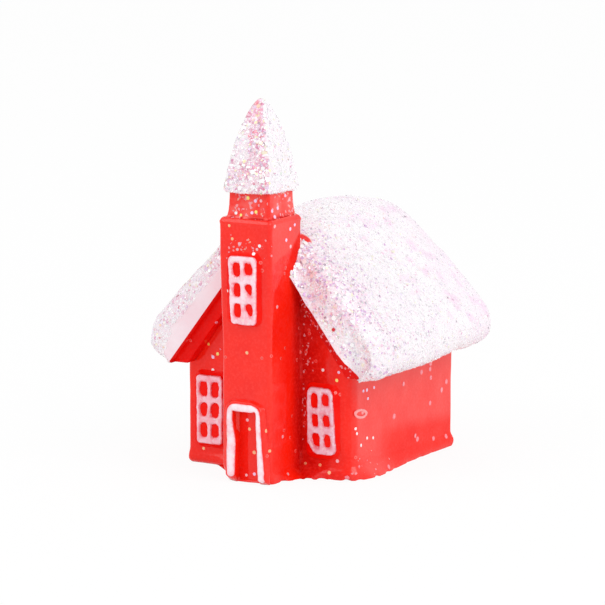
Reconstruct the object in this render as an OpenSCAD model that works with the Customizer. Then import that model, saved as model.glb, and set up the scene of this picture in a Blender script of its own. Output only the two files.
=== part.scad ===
// Miniature village chapel with red glazed walls, a square tower on its front
// gable, a four-sided spire, and thick moulded snow on the roof and the spire.
// The origin is the middle of the house's four walls, on the surface it stands
// on. The front gable with the tower faces -Y.

/* [Walls] */
// Width of the house across its front wall
wall_w = 19.9; // [17:0.1:23]
// Depth of the house from its front wall to its back wall
wall_d = 21.8; // [16:0.1:28]
// Height of the side walls up to the eaves
wall_h = 11; // [10:0.1:15]
// Radius of the upright corners of the walls
wall_corner_r = 0.5; // [0.2:0.05:0.9]
// How far the walls swell out at their foot
foot_bulge = 0.25; // [0.1:0.05:0.4]
// Height of the swelling at the foot
foot_h = 1.6; // [1:0.1:1.6]

/* [Roof deck] */
// Slope of the red roof deck in degrees
roof_pitch = 52.7; // [47:0.1:56]
// Thickness of the deck, square to its slope
deck_t = 1.6; // [1.2:0.05:2]
// How far the deck's eaves stand out from the side walls
eave_out = 1.4; // [0.8:0.05:1.8]
// How far the deck stands out over the front wall
deck_front = 1.4; // [0.8:0.05:1.7]
// How far the deck stands out over the back wall
deck_back = 1.5; // [0.8:0.05:2.4]
// Width of the flat along the deck's ridge, under the snow
ridge_flat = 2.6; // [1.6:0.1:3.4]

/* [Roof snow] */
// Depth of the snow over the point where the deck's slopes would meet
snow_over_ridge = 1.8; // [1.5:0.05:3]
// How many degrees shallower the snow's slopes are than the deck's
snow_ease = 5; // [3:0.1:7]
// How far the snow stands out past the deck's eaves
snow_out = 3.1; // [2.4:0.05:4]
// How far the snow stands out past the deck's front
snow_front = 0.9; // [0.4:0.05:1.5]
// How far the snow stands out past the deck's back
snow_back = 0.7; // [0.4:0.05:1.5]
// Radius of the snow's ridge at its fullest place
ridge_r = 6.2; // [5.4:0.1:7]
// Radius of the snow's ridge at its front end
ridge_r_front = 8; // [7:0.1:8.8]
// Radius of the snow's ridge at its back end
ridge_r_back = 9.6; // [7:0.1:10]
// Radius where the snow's slope turns down to the eave
shoulder_r = 4; // [2.5:0.1:4.5]
// Radius of the snow's lower lip at the eave
lip_r = 2.1; // [1.2:0.1:2.3]
// How far back along the roof the snow's ends are rounded
end_round = 2; // [1.2:0.1:3]
// How much thinner the snow is on its end faces
end_thin = 1.4; // [0.8:0.05:1.5]

/* [Tower] */
// Width of the tower
tower_w = 5.9; // [5.7:0.1:6.8]
// Depth of the tower from the front wall
tower_d = 6.1; // [5.4:0.1:7.4]
// How far the tower stands to the right of the middle of the wall
tower_shift = 0.8; // [-1.5:0.1:1.5]
// Height of the tower's top over the point where the deck's slopes would meet
tower_rise = 2.1; // [1.4:0.05:3]
// Radius of the tower's upright corners
tower_corner_r = 0.4; // [0.2:0.05:0.7]
// Height of the soft shoulder at the tower's top
tower_shoulder_h = 0.5; // [0.2:0.05:0.6]
// Width of the key on the tower's back that locks it into the front wall
key_w = 3; // [2:0.1:4]
// Height of the key
key_h = 5; // [3:0.1:7]
// How far the key reaches into the wall
key_l = 1.5; // [1:0.1:2.5]
// Height of the key's underside
key_z = 5; // [3:0.1:6]

/* [Belfry] */
// Width of the belfry
belfry_w = 4.8; // [4.4:0.05:4.9]
// Depth of the belfry
belfry_d = 5; // [4.4:0.05:5.1]
// Height of the belfry
belfry_h = 2.65; // [2.4:0.05:4]
// How far the belfry's foot flares out on each side
belfry_flare = 0.2; // [0.1:0.02:0.3]
// Radius of the belfry's upright corners
belfry_corner_r = 0.25; // [0.2:0.05:0.6]
// Width of the square tenons at the belfry's foot and head
tenon_w = 2.2; // [1.6:0.1:2.6]
// Length of each tenon
tenon_l = 1.4; // [0.8:0.1:1.8]

/* [Spire] */
// Width of the snowy spire across its front
spire_w = 5.7; // [5.5:0.05:6.2]
// Depth of the snowy spire from front to back
spire_d = 6.4; // [5.8:0.05:6.6]
// Height of the spire's tip over the belfry
spire_h = 9.35; // [8:0.05:13]
// Radius of the spire's corners at its foot
spire_corner_r = 0.5; // [0.4:0.05:1.2]
// How far the snow's hem hangs down round the belfry
hem_drop = 0.2; // [0.2:0.05:0.5]
// Thickness of the snow on the spire's foot
spire_coat = 0.35; // [0.25:0.02:0.37]
// Thickness of the snow over the spire's tip
tip_coat = 0.6; // [0.5:0.05:1.2]

/* [Windows] */
// Width of the white lattice in each window
window_w = 3.25; // [2.8:0.05:3.6]
// Height of the lattice in the tower's window
tower_window_h = 6.85; // [5:0.05:8]
// Height of the lattice in the right window
right_window_h = 7; // [5:0.05:7.2]
// Height of the lattice in the left window
left_window_h = 7.45; // [5:0.05:7.6]
// Gap from the top of the tower's window to the tower's top
tower_window_drop = 4.1; // [2:0.05:5]
// How far the tower's window stands to the left of the tower's middle
tower_window_shift = 0.2; // [0:0.05:0.4]
// Gap from the top of the right window to the eaves' height
right_window_drop = 1.4; // [1:0.05:1.6]
// Gap from the top of the left window to the eaves' height
left_window_drop = 1.25; // [1:0.05:1.6]
// Share of the bare wall beside the right window that lies between it and the wall's corner
right_window_share = 0.727; // [0.3:0.001:0.9]
// Share of the bare wall beside the left window that lies between it and the wall's corner
left_window_share = 0.17; // [0.15:0.01:0.9]
// How far the raised window blocks stand out from the wall
block_out = 0.55; // [0.4:0.05:0.8]
// How far the sloping sides of a raised block spread towards the wall
block_spread = 0.65; // [0.2:0.05:0.65]
// Radius of a lattice's corners
lattice_corner_r = 0.5; // [0.3:0.05:0.7]
// Width of a lattice's outer bars
frame_bar = 0.5; // [0.35:0.05:0.6]
// Width of a lattice's middle upright
middle_bar = 0.45; // [0.3:0.05:0.6]
// Height of a lattice's crossbars
cross_bar = 0.7; // [0.5:0.05:0.9]
// Height of the gap between a lattice's end panes and its ends
end_bar = 0.75; // [0.5:0.05:0.9]
// Thickness of the white lattices and of the door's surround
trim_t = 0.2; // [0.1:0.02:0.3]
// Number of rows of panes in a lattice
pane_rows = 3; // [2:1:4]
// Number of columns of panes in a lattice
pane_columns = 2; // [1:1:3]

/* [Door] */
// Width of the white surround at its top
door_w = 3.7; // [3.2:0.05:3.9]
// Height of the white surround over the ground
door_h = 8.4; // [6.5:0.05:9.5]
// How much wider the surround is at its right foot
door_splay = 0.75; // [0:0.05:0.8]
// How far the door stands to the left of the tower's middle
door_shift = 0.1; // [0:0.05:0.2]
// Width of the surround's left jamb
left_jamb_w = 0.9; // [0.5:0.05:1.1]
// Width of the surround's right jamb
right_jamb_w = 0.6; // [0.5:0.05:0.9]
// Height of the surround's head bar
head_h = 0.8; // [0.5:0.05:1]
// Height of the jambs' feet over the ground
jamb_foot = 0.6; // [0.4:0.05:1]
// Width of the red margin round the surround
door_margin = 0.25; // [0.15:0.05:0.3]
// Depth of the pocket in the tower that the door leaf is set in
pocket_depth = 0.6; // [0.3:0.05:1]
// Thickness of the door leaf
leaf_t = 0.2; // [0.1:0.01:0.3]
// Radius of the surround's upper corners
door_corner_r = 0.7; // [0.4:0.05:1]

/* [Fits] */
// Clearance round the tenons, the key and the cut-outs
fit_gap = 0.05; // [0.03:0.01:0.1]

/* [Hidden] */

// How far a cutting tool runs past what it cuts
overrun = 0.5;
// Facets of a full round and of a rounded corner
$fn = 48;
corner_steps = 5;
// Facets round the snow's ridge, shoulder and lip, and along its body and ends
ridge_steps = 7;
shoulder_steps = 4;
lip_steps = 6;
body_steps = 12;
end_steps = 6;

red_glaze = [0.93, 0.05, 0.04];
deep_red = [0.85, 0.02, 0.02];
snow_white = [0.98, 0.93, 0.96];
trim_white = [0.96, 0.84, 0.9];

// Where the snow's crest lies along the roof, and how round a lattice's panes are
crest_share = 0.56;
pane_round_share = 0.4;

// Height and width shares: swollen foot, belfry's flare, hem, and a block's sloping sides
foot_shares = [[0, 0.4], [0.25, 0.95], [0.45, 1], [0.75, 0.5], [1, 0]];
flare_shares = [[0, 1], [0.25, 0.6], [0.6, 0.2], [1, 0]];
hem_shares = [[1, 0.955], [0.8, 0.975], [0.45, 0.992]];
side_shares = [[0, 1], [0.55, 0.3], [1, 0]];

// Heights of the spire's outlines, and where its bulging law is cut off under the tip
spire_shares = [0, 0.08, 0.16, 0.26, 0.38, 0.5, 0.62, 0.73, 0.82, 0.89, 0.94];
snow_tip_share = 0.985;
core_tip_share = 0.96;
// Powers that set how much the spire's sides bulge and how blunt its tip is
spire_bulge = 1.25;
spire_blunt = 0.65;

front_y = -wall_d / 2;
back_y = wall_d / 2;
slope = tan(roof_pitch);

// The deck: its half width, where its slopes would meet, and its under side
deck_half = wall_w / 2 + eave_out;
deck_peak_z = wall_h + slope * deck_half;
deck_top_z = deck_peak_z - slope * ridge_flat / 2;
under_peak_z = deck_peak_z - deck_t / cos(roof_pitch);
ledge_x = (under_peak_z - wall_h) / slope;
deck_front_y = front_y - deck_front;
deck_back_y = back_y + deck_back;

// The snow on the roof
snow_pitch = roof_pitch - snow_ease;
snow_half = deck_half + snow_out;
snow_peak_z = deck_peak_z + snow_over_ridge + ridge_r * (1 / cos(snow_pitch) - 1);
snow_front_y = deck_front_y - snow_front;
snow_back_y = deck_back_y + snow_back;

// The tower stands against the front wall
tower_x = tower_shift;
tower_y = front_y - tower_d / 2;
tower_top_z = deck_peak_z + tower_rise;
tower_front_y = front_y - tower_d;
belfry_top_z = tower_top_z + belfry_h;

// The raised blocks carry the white trim on their faces. A window block leaves bare
// wall beside it, between the tower and the wall's corner
tower_window_x = tower_x - tower_window_shift;
tower_window_z = tower_top_z - tower_window_drop - tower_window_h;
block_w = window_w + 2 * block_spread;
right_bare = wall_w / 2 - (tower_x + tower_w / 2) - block_w;
left_bare = wall_w / 2 + (tower_x - tower_w / 2) - block_w;
right_window_x = wall_w / 2 - right_window_share * right_bare - block_w / 2;
right_window_z = wall_h - right_window_drop - right_window_h;
left_window_x = left_window_share * left_bare + block_w / 2 - wall_w / 2;
left_window_z = wall_h - left_window_drop - left_window_h;
door_x = tower_x - door_shift - door_w / 2;

// Outline of a rectangle with round corners, level at height z, anticlockwise from above
function soft_ring(w, d, r, z, x = 0, y = 0, steps = corner_steps) = [
    for (q = [0:3], i = [0:steps])
        let (a = 90 * (q + i / steps),
            sx = (q == 0 || q == 3) ? 1 : -1,
            sy = q < 2 ? 1 : -1)
        [x + sx * (w / 2 - r) + r * cos(a), y + sy * (d / 2 - r) + r * sin(a), z]];

// Points on an arc about a centre, from one angle to another
function arc(centre, r, from, to, steps) = [
    for (i = [0:steps]) let (a = from + (to - from) * i / steps) centre + r * [cos(a), sin(a)]];

// A closed skin over a row of outlines that all have the same number of points
module loft(rings) {
    m = len(rings[0]);
    last = len(rings) - 1;
    polyhedron(
        points = [for (ring = rings) each ring],
        faces = [
            [for (i = [0:m - 1]) i],
            each [for (j = [0:last - 1], i = [0:m - 1])
                let (a = j * m + i, b = j * m + (i + 1) % m) each [[a, a + m, b + m], [a, b + m, b]]],
            [for (i = [m - 1:-1:0]) last * m + i]
        ],
        convexity = 6);
}

// A rectangle with round corners, its lower left corner at the origin
module soft_rectangle(w, h, r) {
    translate([r, 0]) square([w - 2 * r, h]);
    translate([0, r]) square([w, h - 2 * r]);
    for (x = [r, w - r], y = [r, h - r]) translate([x, y]) circle(r);
}

// Stands a flat outline up to face the front, its back on the plane y
module upright(y, t) {
    translate([0, y, 0]) rotate([90, 0, 0]) linear_extrude(t) children();
}

// Space that the tower takes out of whatever passes behind it
module tower_clearance() {
    translate([tower_x - tower_w / 2 - fit_gap, tower_front_y - overrun, 0])
        cube([tower_w + 2 * fit_gap, tower_d + fit_gap + overrun, tower_top_z + overrun]);
}

// Walls with both gables, cut to the deck's under side, on a swollen foot
module house_body() {
    far = wall_w + overrun;
    under_deck = [[-far, 0], [far, 0], [far, wall_h], [ledge_x, wall_h], [0, under_peak_z],
        [-ledge_x, wall_h], [-far, wall_h]];
    color(red_glaze)
    difference() {
        union() {
            intersection() {
                translate([-wall_w / 2, -wall_d / 2, 0])
                    linear_extrude(under_peak_z + overrun) soft_rectangle(wall_w, wall_d, wall_corner_r);
                upright(back_y + overrun, wall_d + 2 * overrun) polygon(under_deck);
            }
            swollen_foot();
        }
        translate([tower_x - key_w / 2 - fit_gap, front_y - overrun, key_z - fit_gap])
            cube([key_w + 2 * fit_gap, key_l + fit_gap + overrun, key_h + 2 * fit_gap]);
        translate([tower_x - tower_w / 2 - fit_gap, front_y - overrun, -overrun])
            cube([tower_w + 2 * fit_gap, overrun, under_peak_z + 2 * overrun]);
    }
}

// A soft swelling round the foot of the four walls
module swollen_foot() {
    loft([for (share = foot_shares)
        soft_ring(wall_w + 2 * foot_bulge * share[1], wall_d + 2 * foot_bulge * share[1], wall_corner_r,
            foot_h * share[0])]);
}

// The red slab under the snow: two slopes with level eaves, notched round the tower
module roof_deck() {
    outline = [[ledge_x, wall_h], [deck_half, wall_h], [ridge_flat / 2, deck_top_z],
        [-ridge_flat / 2, deck_top_z], [-deck_half, wall_h], [-ledge_x, wall_h], [0, under_peak_z]];
    color(deep_red)
    difference() {
        upright(deck_back_y, deck_back_y - deck_front_y) polygon(outline);
        tower_clearance();
    }
}

// Half outline of the snow, from ridge to lip, drawn in by thin and with ridge radius r
function snow_half_outline(thin, r) =
    let (turn = 90 - snow_pitch,
        edge_z = snow_peak_z - snow_half * tan(snow_pitch),
        shoulder_z = edge_z - shoulder_r * tan(turn / 2),
        lip = min(lip_r, shoulder_z - wall_h))
    concat(
        arc([0, snow_peak_z - r / cos(snow_pitch)], r - thin, 90, turn, ridge_steps),
        arc([snow_half - shoulder_r, shoulder_z], shoulder_r - thin, turn, 0, shoulder_steps),
        arc([snow_half - lip, wall_h + lip], lip - thin, 0, -90, lip_steps));

// The ridge is fullest at the crest and sinks towards both ends
function snow_ridge_r(y) =
    let (crest_y = snow_front_y + crest_share * (snow_back_y - snow_front_y),
        s = y < crest_y ? (crest_y - y) / (crest_y - snow_front_y) : (y - crest_y) / (snow_back_y - crest_y))
    ridge_r + ((y < crest_y ? ridge_r_front : ridge_r_back) - ridge_r) * s * s;

function snow_ring(y, thin) =
    let (side = snow_half_outline(thin, snow_ridge_r(y)), n = len(side))
    concat(
        [for (i = [n - 1:-1:1]) [-side[i][0], y, side[i][1]]],
        [for (p = side) [p[0], y, p[1]]],
        [[deck_half, y, wall_h], [-deck_half, y, wall_h]]);

// Thick snow saddled over the deck, its ends rounded over and its eaves rolled under
module roof_snow() {
    over_deck = [[-deck_half, wall_h - overrun], [deck_half, wall_h - overrun], [deck_half, wall_h],
        [ridge_flat / 2, deck_top_z], [-ridge_flat / 2, deck_top_z], [-deck_half, wall_h]];
    front_rings = [for (i = [0:end_steps - 1]) let (a = 90 * i / end_steps)
        snow_ring(snow_front_y + end_round * (1 - cos(a)), end_thin * (1 - sin(a)))];
    body_start = snow_front_y + end_round;
    body_l = snow_back_y - snow_front_y - 2 * end_round;
    body_rings = [for (i = [0:body_steps]) snow_ring(body_start + body_l * i / body_steps, 0)];
    back_rings = [for (i = [end_steps - 1:-1:0]) let (a = 90 * i / end_steps)
        snow_ring(snow_back_y - end_round * (1 - cos(a)), end_thin * (1 - sin(a)))];
    color(snow_white)
    difference() {
        loft(concat(front_rings, body_rings, back_rings));
        upright(snow_back_y + overrun, snow_back_y - snow_front_y + 2 * overrun) polygon(over_deck);
        tower_clearance();
    }
}

// Square tower with soft corners, a sloping shoulder, a key behind, a socket on top and
// a pocket for the door in front
module tower_shaft() {
    neck_w = belfry_w + 2 * belfry_flare;
    neck_d = belfry_d + 2 * belfry_flare;
    socket = tenon_w + 2 * fit_gap;
    color(red_glaze) {
        difference() {
            loft([
                soft_ring(tower_w - tower_corner_r, tower_d - tower_corner_r, tower_corner_r / 2, 0,
                    tower_x, tower_y + tower_corner_r / 2),
                soft_ring(tower_w, tower_d, tower_corner_r, tower_corner_r, tower_x, tower_y),
                soft_ring(tower_w, tower_d, tower_corner_r, tower_top_z - tower_shoulder_h, tower_x, tower_y),
                soft_ring(tower_w - tower_corner_r / 2, tower_d - tower_corner_r / 2, tower_corner_r,
                    tower_top_z - tower_shoulder_h / 4, tower_x, tower_y),
                soft_ring(neck_w, neck_d, belfry_corner_r, tower_top_z, tower_x, tower_y)
            ]);
            translate([tower_x - socket / 2, tower_y - socket / 2, tower_top_z - tenon_l - fit_gap])
                cube([socket, socket, tenon_l + fit_gap + overrun]);
            upright(tower_front_y + pocket_depth, pocket_depth + overrun)
                translate([door_x, 0]) door_opening(0, -overrun);
        }
        translate([tower_x - key_w / 2, front_y - overrun, key_z])
            cube([key_w, key_l + overrun, key_h]);
    }
}

// Narrow stage between tower and spire, with a tenon at its foot and head
module belfry() {
    color(red_glaze) {
        loft([for (share = flare_shares)
            soft_ring(belfry_w + 2 * belfry_flare * share[1], belfry_d + 2 * belfry_flare * share[1],
                belfry_corner_r, tower_top_z + belfry_h * share[0], tower_x, tower_y)]);
        translate([tower_x - tenon_w / 2, tower_y - tenon_w / 2, tower_top_z - tenon_l])
            cube([tenon_w, tenon_w, belfry_h + 2 * tenon_l]);
    }
}

// Share of the spire's foot width left at a share of its height: bulging sides, round tip
function spire_width_share(t) = pow(1 - pow(t, spire_bulge), spire_blunt);

function spire_rings(w, d, h, tip_share) = [
    for (t = concat(spire_shares, tip_share))
        let (s = spire_width_share(t))
        soft_ring(w * s, d * s, spire_corner_r * s, belfry_top_z + h * t / tip_share, tower_x, tower_y)];

// Red spire inside the snow, seated on the belfry's head tenon
module spire_core() {
    socket = tenon_w + 2 * fit_gap;
    color(red_glaze)
    difference() {
        spire_core_form();
        translate([tower_x - socket / 2, tower_y - socket / 2, belfry_top_z - overrun])
            cube([socket, socket, tenon_l + fit_gap + overrun]);
    }
}

module spire_core_form() {
    loft(spire_rings(spire_w - 2 * spire_coat, spire_d - 2 * spire_coat, spire_h - tip_coat,
        core_tip_share));
}

// Snow that covers the spire and hangs in a rounded hem round the belfry's head
module spire_snow() {
    pocket_w = belfry_w + 2 * fit_gap;
    pocket_d = belfry_d + 2 * fit_gap;
    color(snow_white)
    difference() {
        loft(concat(
            [for (share = hem_shares)
                soft_ring(spire_w * share[1], spire_d * share[1], spire_corner_r * share[1],
                    belfry_top_z - hem_drop * share[0], tower_x, tower_y)],
            spire_rings(spire_w, spire_d, spire_h, snow_tip_share)));
        spire_core_form();
        translate([0, 0, -overrun]) loft([
            soft_ring(pocket_w, pocket_d, belfry_corner_r, belfry_top_z - hem_drop, tower_x, tower_y),
            soft_ring(pocket_w, pocket_d, belfry_corner_r, belfry_top_z + overrun, tower_x, tower_y)]);
    }
}

// Raised block with sloping sides that carries a window's lattice
module window_block(x, z, h, y) {
    color(red_glaze)
    translate([x, y, z + h / 2]) rotate([90, 0, 0])
        loft([for (share = side_shares)
            let (spread = block_spread * share[1])
            soft_ring(window_w + 2 * spread, h + 2 * spread, lattice_corner_r + spread,
                block_out * share[0])]);
}

// White lattice with rounded panes, two columns wide, on the face of its block
module lattice(x, z, h, y) {
    pane_w = (window_w - 2 * frame_bar - (pane_columns - 1) * middle_bar) / pane_columns;
    pane_h = (h - 2 * end_bar - (pane_rows - 1) * cross_bar) / pane_rows;
    pane_r = min(pane_w, pane_h) * pane_round_share;
    color(trim_white)
    upright(y - block_out, trim_t)
        translate([x - window_w / 2, z])
            difference() {
                soft_rectangle(window_w, h, lattice_corner_r);
                for (i = [0:pane_columns - 1], j = [0:pane_rows - 1])
                    translate([frame_bar + i * (pane_w + middle_bar), end_bar + j * (pane_h + cross_bar)])
                        soft_rectangle(pane_w, pane_h, pane_r);
            }
}

// How far the doorway's right side has spread at a depth below the surround's straight top
function door_spread(depth) = door_splay * depth / (door_h - door_corner_r - jamb_foot);

// The surround's outer line, grown by a margin, down to the height of its foot
module door_outline(grow, foot) {
    r = door_corner_r + grow;
    top = door_h - door_corner_r;
    right = door_w + grow;
    polygon([[-grow, foot], [right + door_spread(top - foot), foot], [right, top], [-grow, top]]);
    translate([r - grow, top - foot]) square([right + grow - 2 * r, foot + r]);
    for (x = [r - grow, right - r]) translate([x, top]) circle(r);
}

// The doorway inside the surround, drawn in by a clearance, down to the height of its foot
module door_opening(shrink, foot) {
    top = door_h - head_h - shrink;
    left = left_jamb_w + shrink;
    right = door_w - right_jamb_w - shrink;
    polygon([[left, foot], [right + door_spread(top - foot), foot], [right, top], [left, top]]);
}

// Red block round the doorway, standing out from the tower
module door_frame() {
    color(red_glaze)
    upright(tower_front_y, block_out)
        translate([door_x, 0]) difference() {
            door_outline(door_margin, 0);
            door_opening(0, -overrun);
        }
}

// The red door, set on the back of its pocket in the tower
module door_leaf() {
    color(deep_red)
    upright(tower_front_y + pocket_depth, leaf_t) translate([door_x, 0]) door_opening(fit_gap, 0);
}

// The white painted surround: two jambs and a head bar with round corners
module door_surround() {
    color(trim_white)
    upright(tower_front_y - block_out, trim_t)
        translate([door_x, 0]) difference() {
            door_outline(0, jamb_foot);
            door_opening(0, jamb_foot - overrun);
        }
}

house_body();
roof_deck();
roof_snow();
tower_shaft();
belfry();
spire_core();
spire_snow();
window_block(tower_window_x, tower_window_z, tower_window_h, tower_front_y);  // tower_window_block
window_block(right_window_x, right_window_z, right_window_h, front_y);  // right_window_block
window_block(left_window_x, left_window_z, left_window_h, front_y);  // left_window_block
lattice(tower_window_x, tower_window_z, tower_window_h, tower_front_y);  // tower_lattice
lattice(right_window_x, right_window_z, right_window_h, front_y);  // right_lattice
lattice(left_window_x, left_window_z, left_window_h, front_y);  // left_lattice
door_frame();
door_leaf();
door_surround();
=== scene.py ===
import bmesh
import bpy
import numpy as np
from mathutils import Matrix, Vector
from mathutils.bvhtree import BVHTree


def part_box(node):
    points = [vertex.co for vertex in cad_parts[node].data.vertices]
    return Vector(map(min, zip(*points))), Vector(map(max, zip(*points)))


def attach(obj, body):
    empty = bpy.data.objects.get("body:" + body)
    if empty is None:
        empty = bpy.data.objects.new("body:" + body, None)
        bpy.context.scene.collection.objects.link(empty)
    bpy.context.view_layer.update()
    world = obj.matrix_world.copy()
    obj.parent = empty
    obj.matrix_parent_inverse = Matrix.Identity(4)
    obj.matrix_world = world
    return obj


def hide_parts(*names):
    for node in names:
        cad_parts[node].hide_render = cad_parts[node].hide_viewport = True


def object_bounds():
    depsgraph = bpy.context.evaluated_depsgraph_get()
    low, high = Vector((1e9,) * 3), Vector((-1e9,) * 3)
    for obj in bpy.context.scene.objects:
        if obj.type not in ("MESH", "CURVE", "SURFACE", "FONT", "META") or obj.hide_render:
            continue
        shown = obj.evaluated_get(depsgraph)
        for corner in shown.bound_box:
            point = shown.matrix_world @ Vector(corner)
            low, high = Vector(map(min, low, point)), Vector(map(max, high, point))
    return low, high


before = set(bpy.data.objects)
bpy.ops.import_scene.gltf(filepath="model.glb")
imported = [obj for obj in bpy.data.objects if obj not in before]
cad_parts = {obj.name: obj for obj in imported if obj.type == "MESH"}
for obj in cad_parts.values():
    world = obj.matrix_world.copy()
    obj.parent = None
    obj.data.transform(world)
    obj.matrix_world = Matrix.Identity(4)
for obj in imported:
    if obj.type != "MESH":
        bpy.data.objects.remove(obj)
cadLow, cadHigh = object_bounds()
mm = 0.001
soleZ = 0.001  # where a foot's closing ring lies, in millimetres over the ground
boxLow, boxHigh = np.array(cadLow) / mm, np.array(cadHigh) / mm
print("frame: loaded", len(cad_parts), "nodes")

# The photograph's camera, in pixels of its 605 x 605 frame, millimetres and degrees
photo = dict(side=605, focal=4021.5, sensor=36.0, target=(3.985, -10.9, 18.46), distance=420.0,
             azimuth=30.5, elevation=9.6, roll=0.08)


def nodeBox(name):
    # lowest and highest corner of a CAD node, in millimetres
    low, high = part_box(name)
    return np.array(low) / mm, np.array(high) / mm


def cameraAxes():
    # right and up span the picture, back points from the target to the camera
    a, e, r = np.radians([photo["azimuth"], photo["elevation"], photo["roll"]])
    back = np.array([np.sin(a) * np.cos(e), -np.cos(a) * np.cos(e), np.sin(e)])
    level = np.array([np.cos(a), np.sin(a), 0.0])
    rise = np.cross(back, level)
    return np.cos(r) * level + np.sin(r) * rise, np.cos(r) * rise - np.sin(r) * level, back


def photoRay(px, py):
    # where the camera stands, in millimetres, and its direction of sight through a pixel
    right, up, back = cameraAxes()
    eye = np.array(photo["target"]) + back * photo["distance"]
    middle = photo["side"] / 2
    way = right * (px - middle) / photo["focal"] - up * (py - middle) / photo["focal"] - back
    return eye, way / np.linalg.norm(way)


def photoPixels(points):
    # the pixels in which the camera sees points given in millimetres
    right, up, back = cameraAxes()
    off = points - (np.array(photo["target"]) + back * photo["distance"])
    scale = photo["focal"] / -(off @ back)
    return photo["side"] / 2 + scale * (off @ right), photo["side"] / 2 - scale * (off @ up)


def smooth(x, low, high):
    # 0 below low, 1 above high, with an even S between them
    t = np.clip((x - low) / (high - low), 0, 1)
    return t * t * (3 - 2 * t)


def hump(x, middle, width):
    # a bell curve: 1 at the middle, and e to the power of minus the square of the distance in widths beside it
    return np.exp(-((x - middle) / width) ** 2)


def quarterRound(t, least=0.0):
    # height of a quarter circle over t from 0 to 1, and never below the root of least
    return np.sqrt(np.clip(1 - (1 - np.clip(t, 0, 1)) ** 2, least, 1))


def lumps(points, size, seed):
    # soft random hills about size mm apart: a seeded cube of heights from -1 to 1, blended between its corners
    side = 24
    table = np.random.default_rng(seed).uniform(-1, 1, (side, side, side))
    q = np.asarray(points) / size
    low = np.floor(q).astype(int)
    t = q - low
    t = t * t * (3 - 2 * t)
    total = 0.0
    for corner in np.ndindex(2, 2, 2):
        c = np.array(corner)
        weight = np.prod(np.where(c, t, 1 - t), axis=-1)
        cell = (low + c) % side
        total = total + weight * table[cell[..., 0], cell[..., 1], cell[..., 2]]
    return total


def outwards(rows):
    # unit normals of a closed ring grid: cross product of its two grid directions, turned away from the middle
    along = np.gradient(rows, axis=0)
    around = np.roll(rows, -1, 1) - np.roll(rows, 1, 1)
    n = np.cross(around, along)
    n /= np.maximum(np.linalg.norm(n, axis=-1, keepdims=True), 1e-9)
    middle = rows.mean(axis=(0, 1))
    return n if (n * (rows - middle)).sum() > 0 else -n


def swell(rows, amount):
    # moves every point along its normal by amount
    return rows + outwards(rows) * amount[..., None]


def addSole(rows, centre, share, values):
    # closes a foot: its first ring, drawn in to share round the centre, is put under it with the same paint values
    middle = np.array([*centre, 0])
    under = rows[0].copy()
    under[:, 2] = soleZ
    under = (under - middle) * [share, share, 1] + middle
    grown = {key: np.concatenate([data[:1], data]) for key, data in values.items()}
    return np.concatenate([under[None], rows]), grown


def levelWay(rows):
    # outward normals with their upright part taken out
    n = outwards(rows)
    n[..., 2] = 0
    return n / np.maximum(np.linalg.norm(n, axis=-1, keepdims=True), 1e-9)


def roundRing(x0, x1, y0, y1, radii, sideSteps, cornerSteps):
    # Outline of a rectangle with round corners, anticlockwise from the +x side: a quarter arc at each corner
    # and a straight side to the next. Every size is a column with one value per row of the surface.
    x0, x1, y0, y1 = (np.atleast_1d(np.asarray(v, float))[:, None] for v in (x0, x1, y0, y1))
    radii = [np.atleast_1d(np.asarray(r, float))[:, None] for r in radii]
    n = max(len(v) for v in (x0, x1, y0, y1, *radii))
    cx = [x1 - radii[0], x0 + radii[1], x0 + radii[2], x1 - radii[3]]
    cy = [y1 - radii[0], y1 - radii[1], y0 + radii[2], y0 + radii[3]]
    turn = np.linspace(0, np.pi / 2, cornerSteps + 1)[None, :]
    xs, ys = [], []
    for q in range(4):
        a = turn + q * np.pi / 2
        xs.append(np.broadcast_to(cx[q] + radii[q] * np.cos(a), (n, cornerSteps + 1)))
        ys.append(np.broadcast_to(cy[q] + radii[q] * np.sin(a), (n, cornerSteps + 1)))
        following = (q + 1) % 4
        b = (q + 1) * np.pi / 2
        s = np.linspace(0, 1, sideSteps[q % 2] + 1)[None, 1:-1]
        endX = cx[following] + radii[following] * np.cos(b)
        endY = cy[following] + radii[following] * np.sin(b)
        xs.append(xs[-1][:, -1:] * (1 - s) + endX * s)
        ys.append(ys[-1][:, -1:] * (1 - s) + endY * s)
    return np.concatenate(xs, 1), np.concatenate(ys, 1)


def stackUp(x, y, z):
    # rows of points from a ring's x and y at the heights z
    return np.stack([x, y, np.broadcast_to(np.asarray(z)[:, None], x.shape)], -1)


def addMesh(name, points, faces, values=None):
    # points in mm; values holds one number or colour per point, by attribute name
    mesh = bpy.data.meshes.new(name)
    keep = np.clip(points, boxLow, boxHigh) * mm
    mesh.from_pydata(keep.tolist(), [], faces)
    for key, data in (values or {}).items():
        kind, field = ("FLOAT_COLOR", "color") if np.ndim(data) == 2 else ("FLOAT", "value")
        mesh.attributes.new(key, kind, "POINT").data.foreach_set(field, np.asarray(data, np.float32).ravel())
    mesh.polygons.foreach_set("use_smooth", np.ones(len(mesh.polygons), bool))
    mesh.update()
    piece = bpy.data.objects.new(name, mesh)
    bpy.context.scene.collection.objects.link(piece)
    return piece


def turnOutwards(points, faces):
    # signed volume over the faces' fans: the faces are turned over where it is negative
    p = np.asarray(points)
    volume = 0.0
    for corners in (3, 4):
        f = np.array([q for q in faces if len(q) == corners], int).reshape(-1, corners)
        for k in range(1, corners - 1):
            volume += np.einsum("ij,ij->i", p[f[:, 0]], np.cross(p[f[:, k]], p[f[:, k + 1]])).sum()
    return faces if volume >= 0 else [q[::-1] for q in faces]


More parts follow.
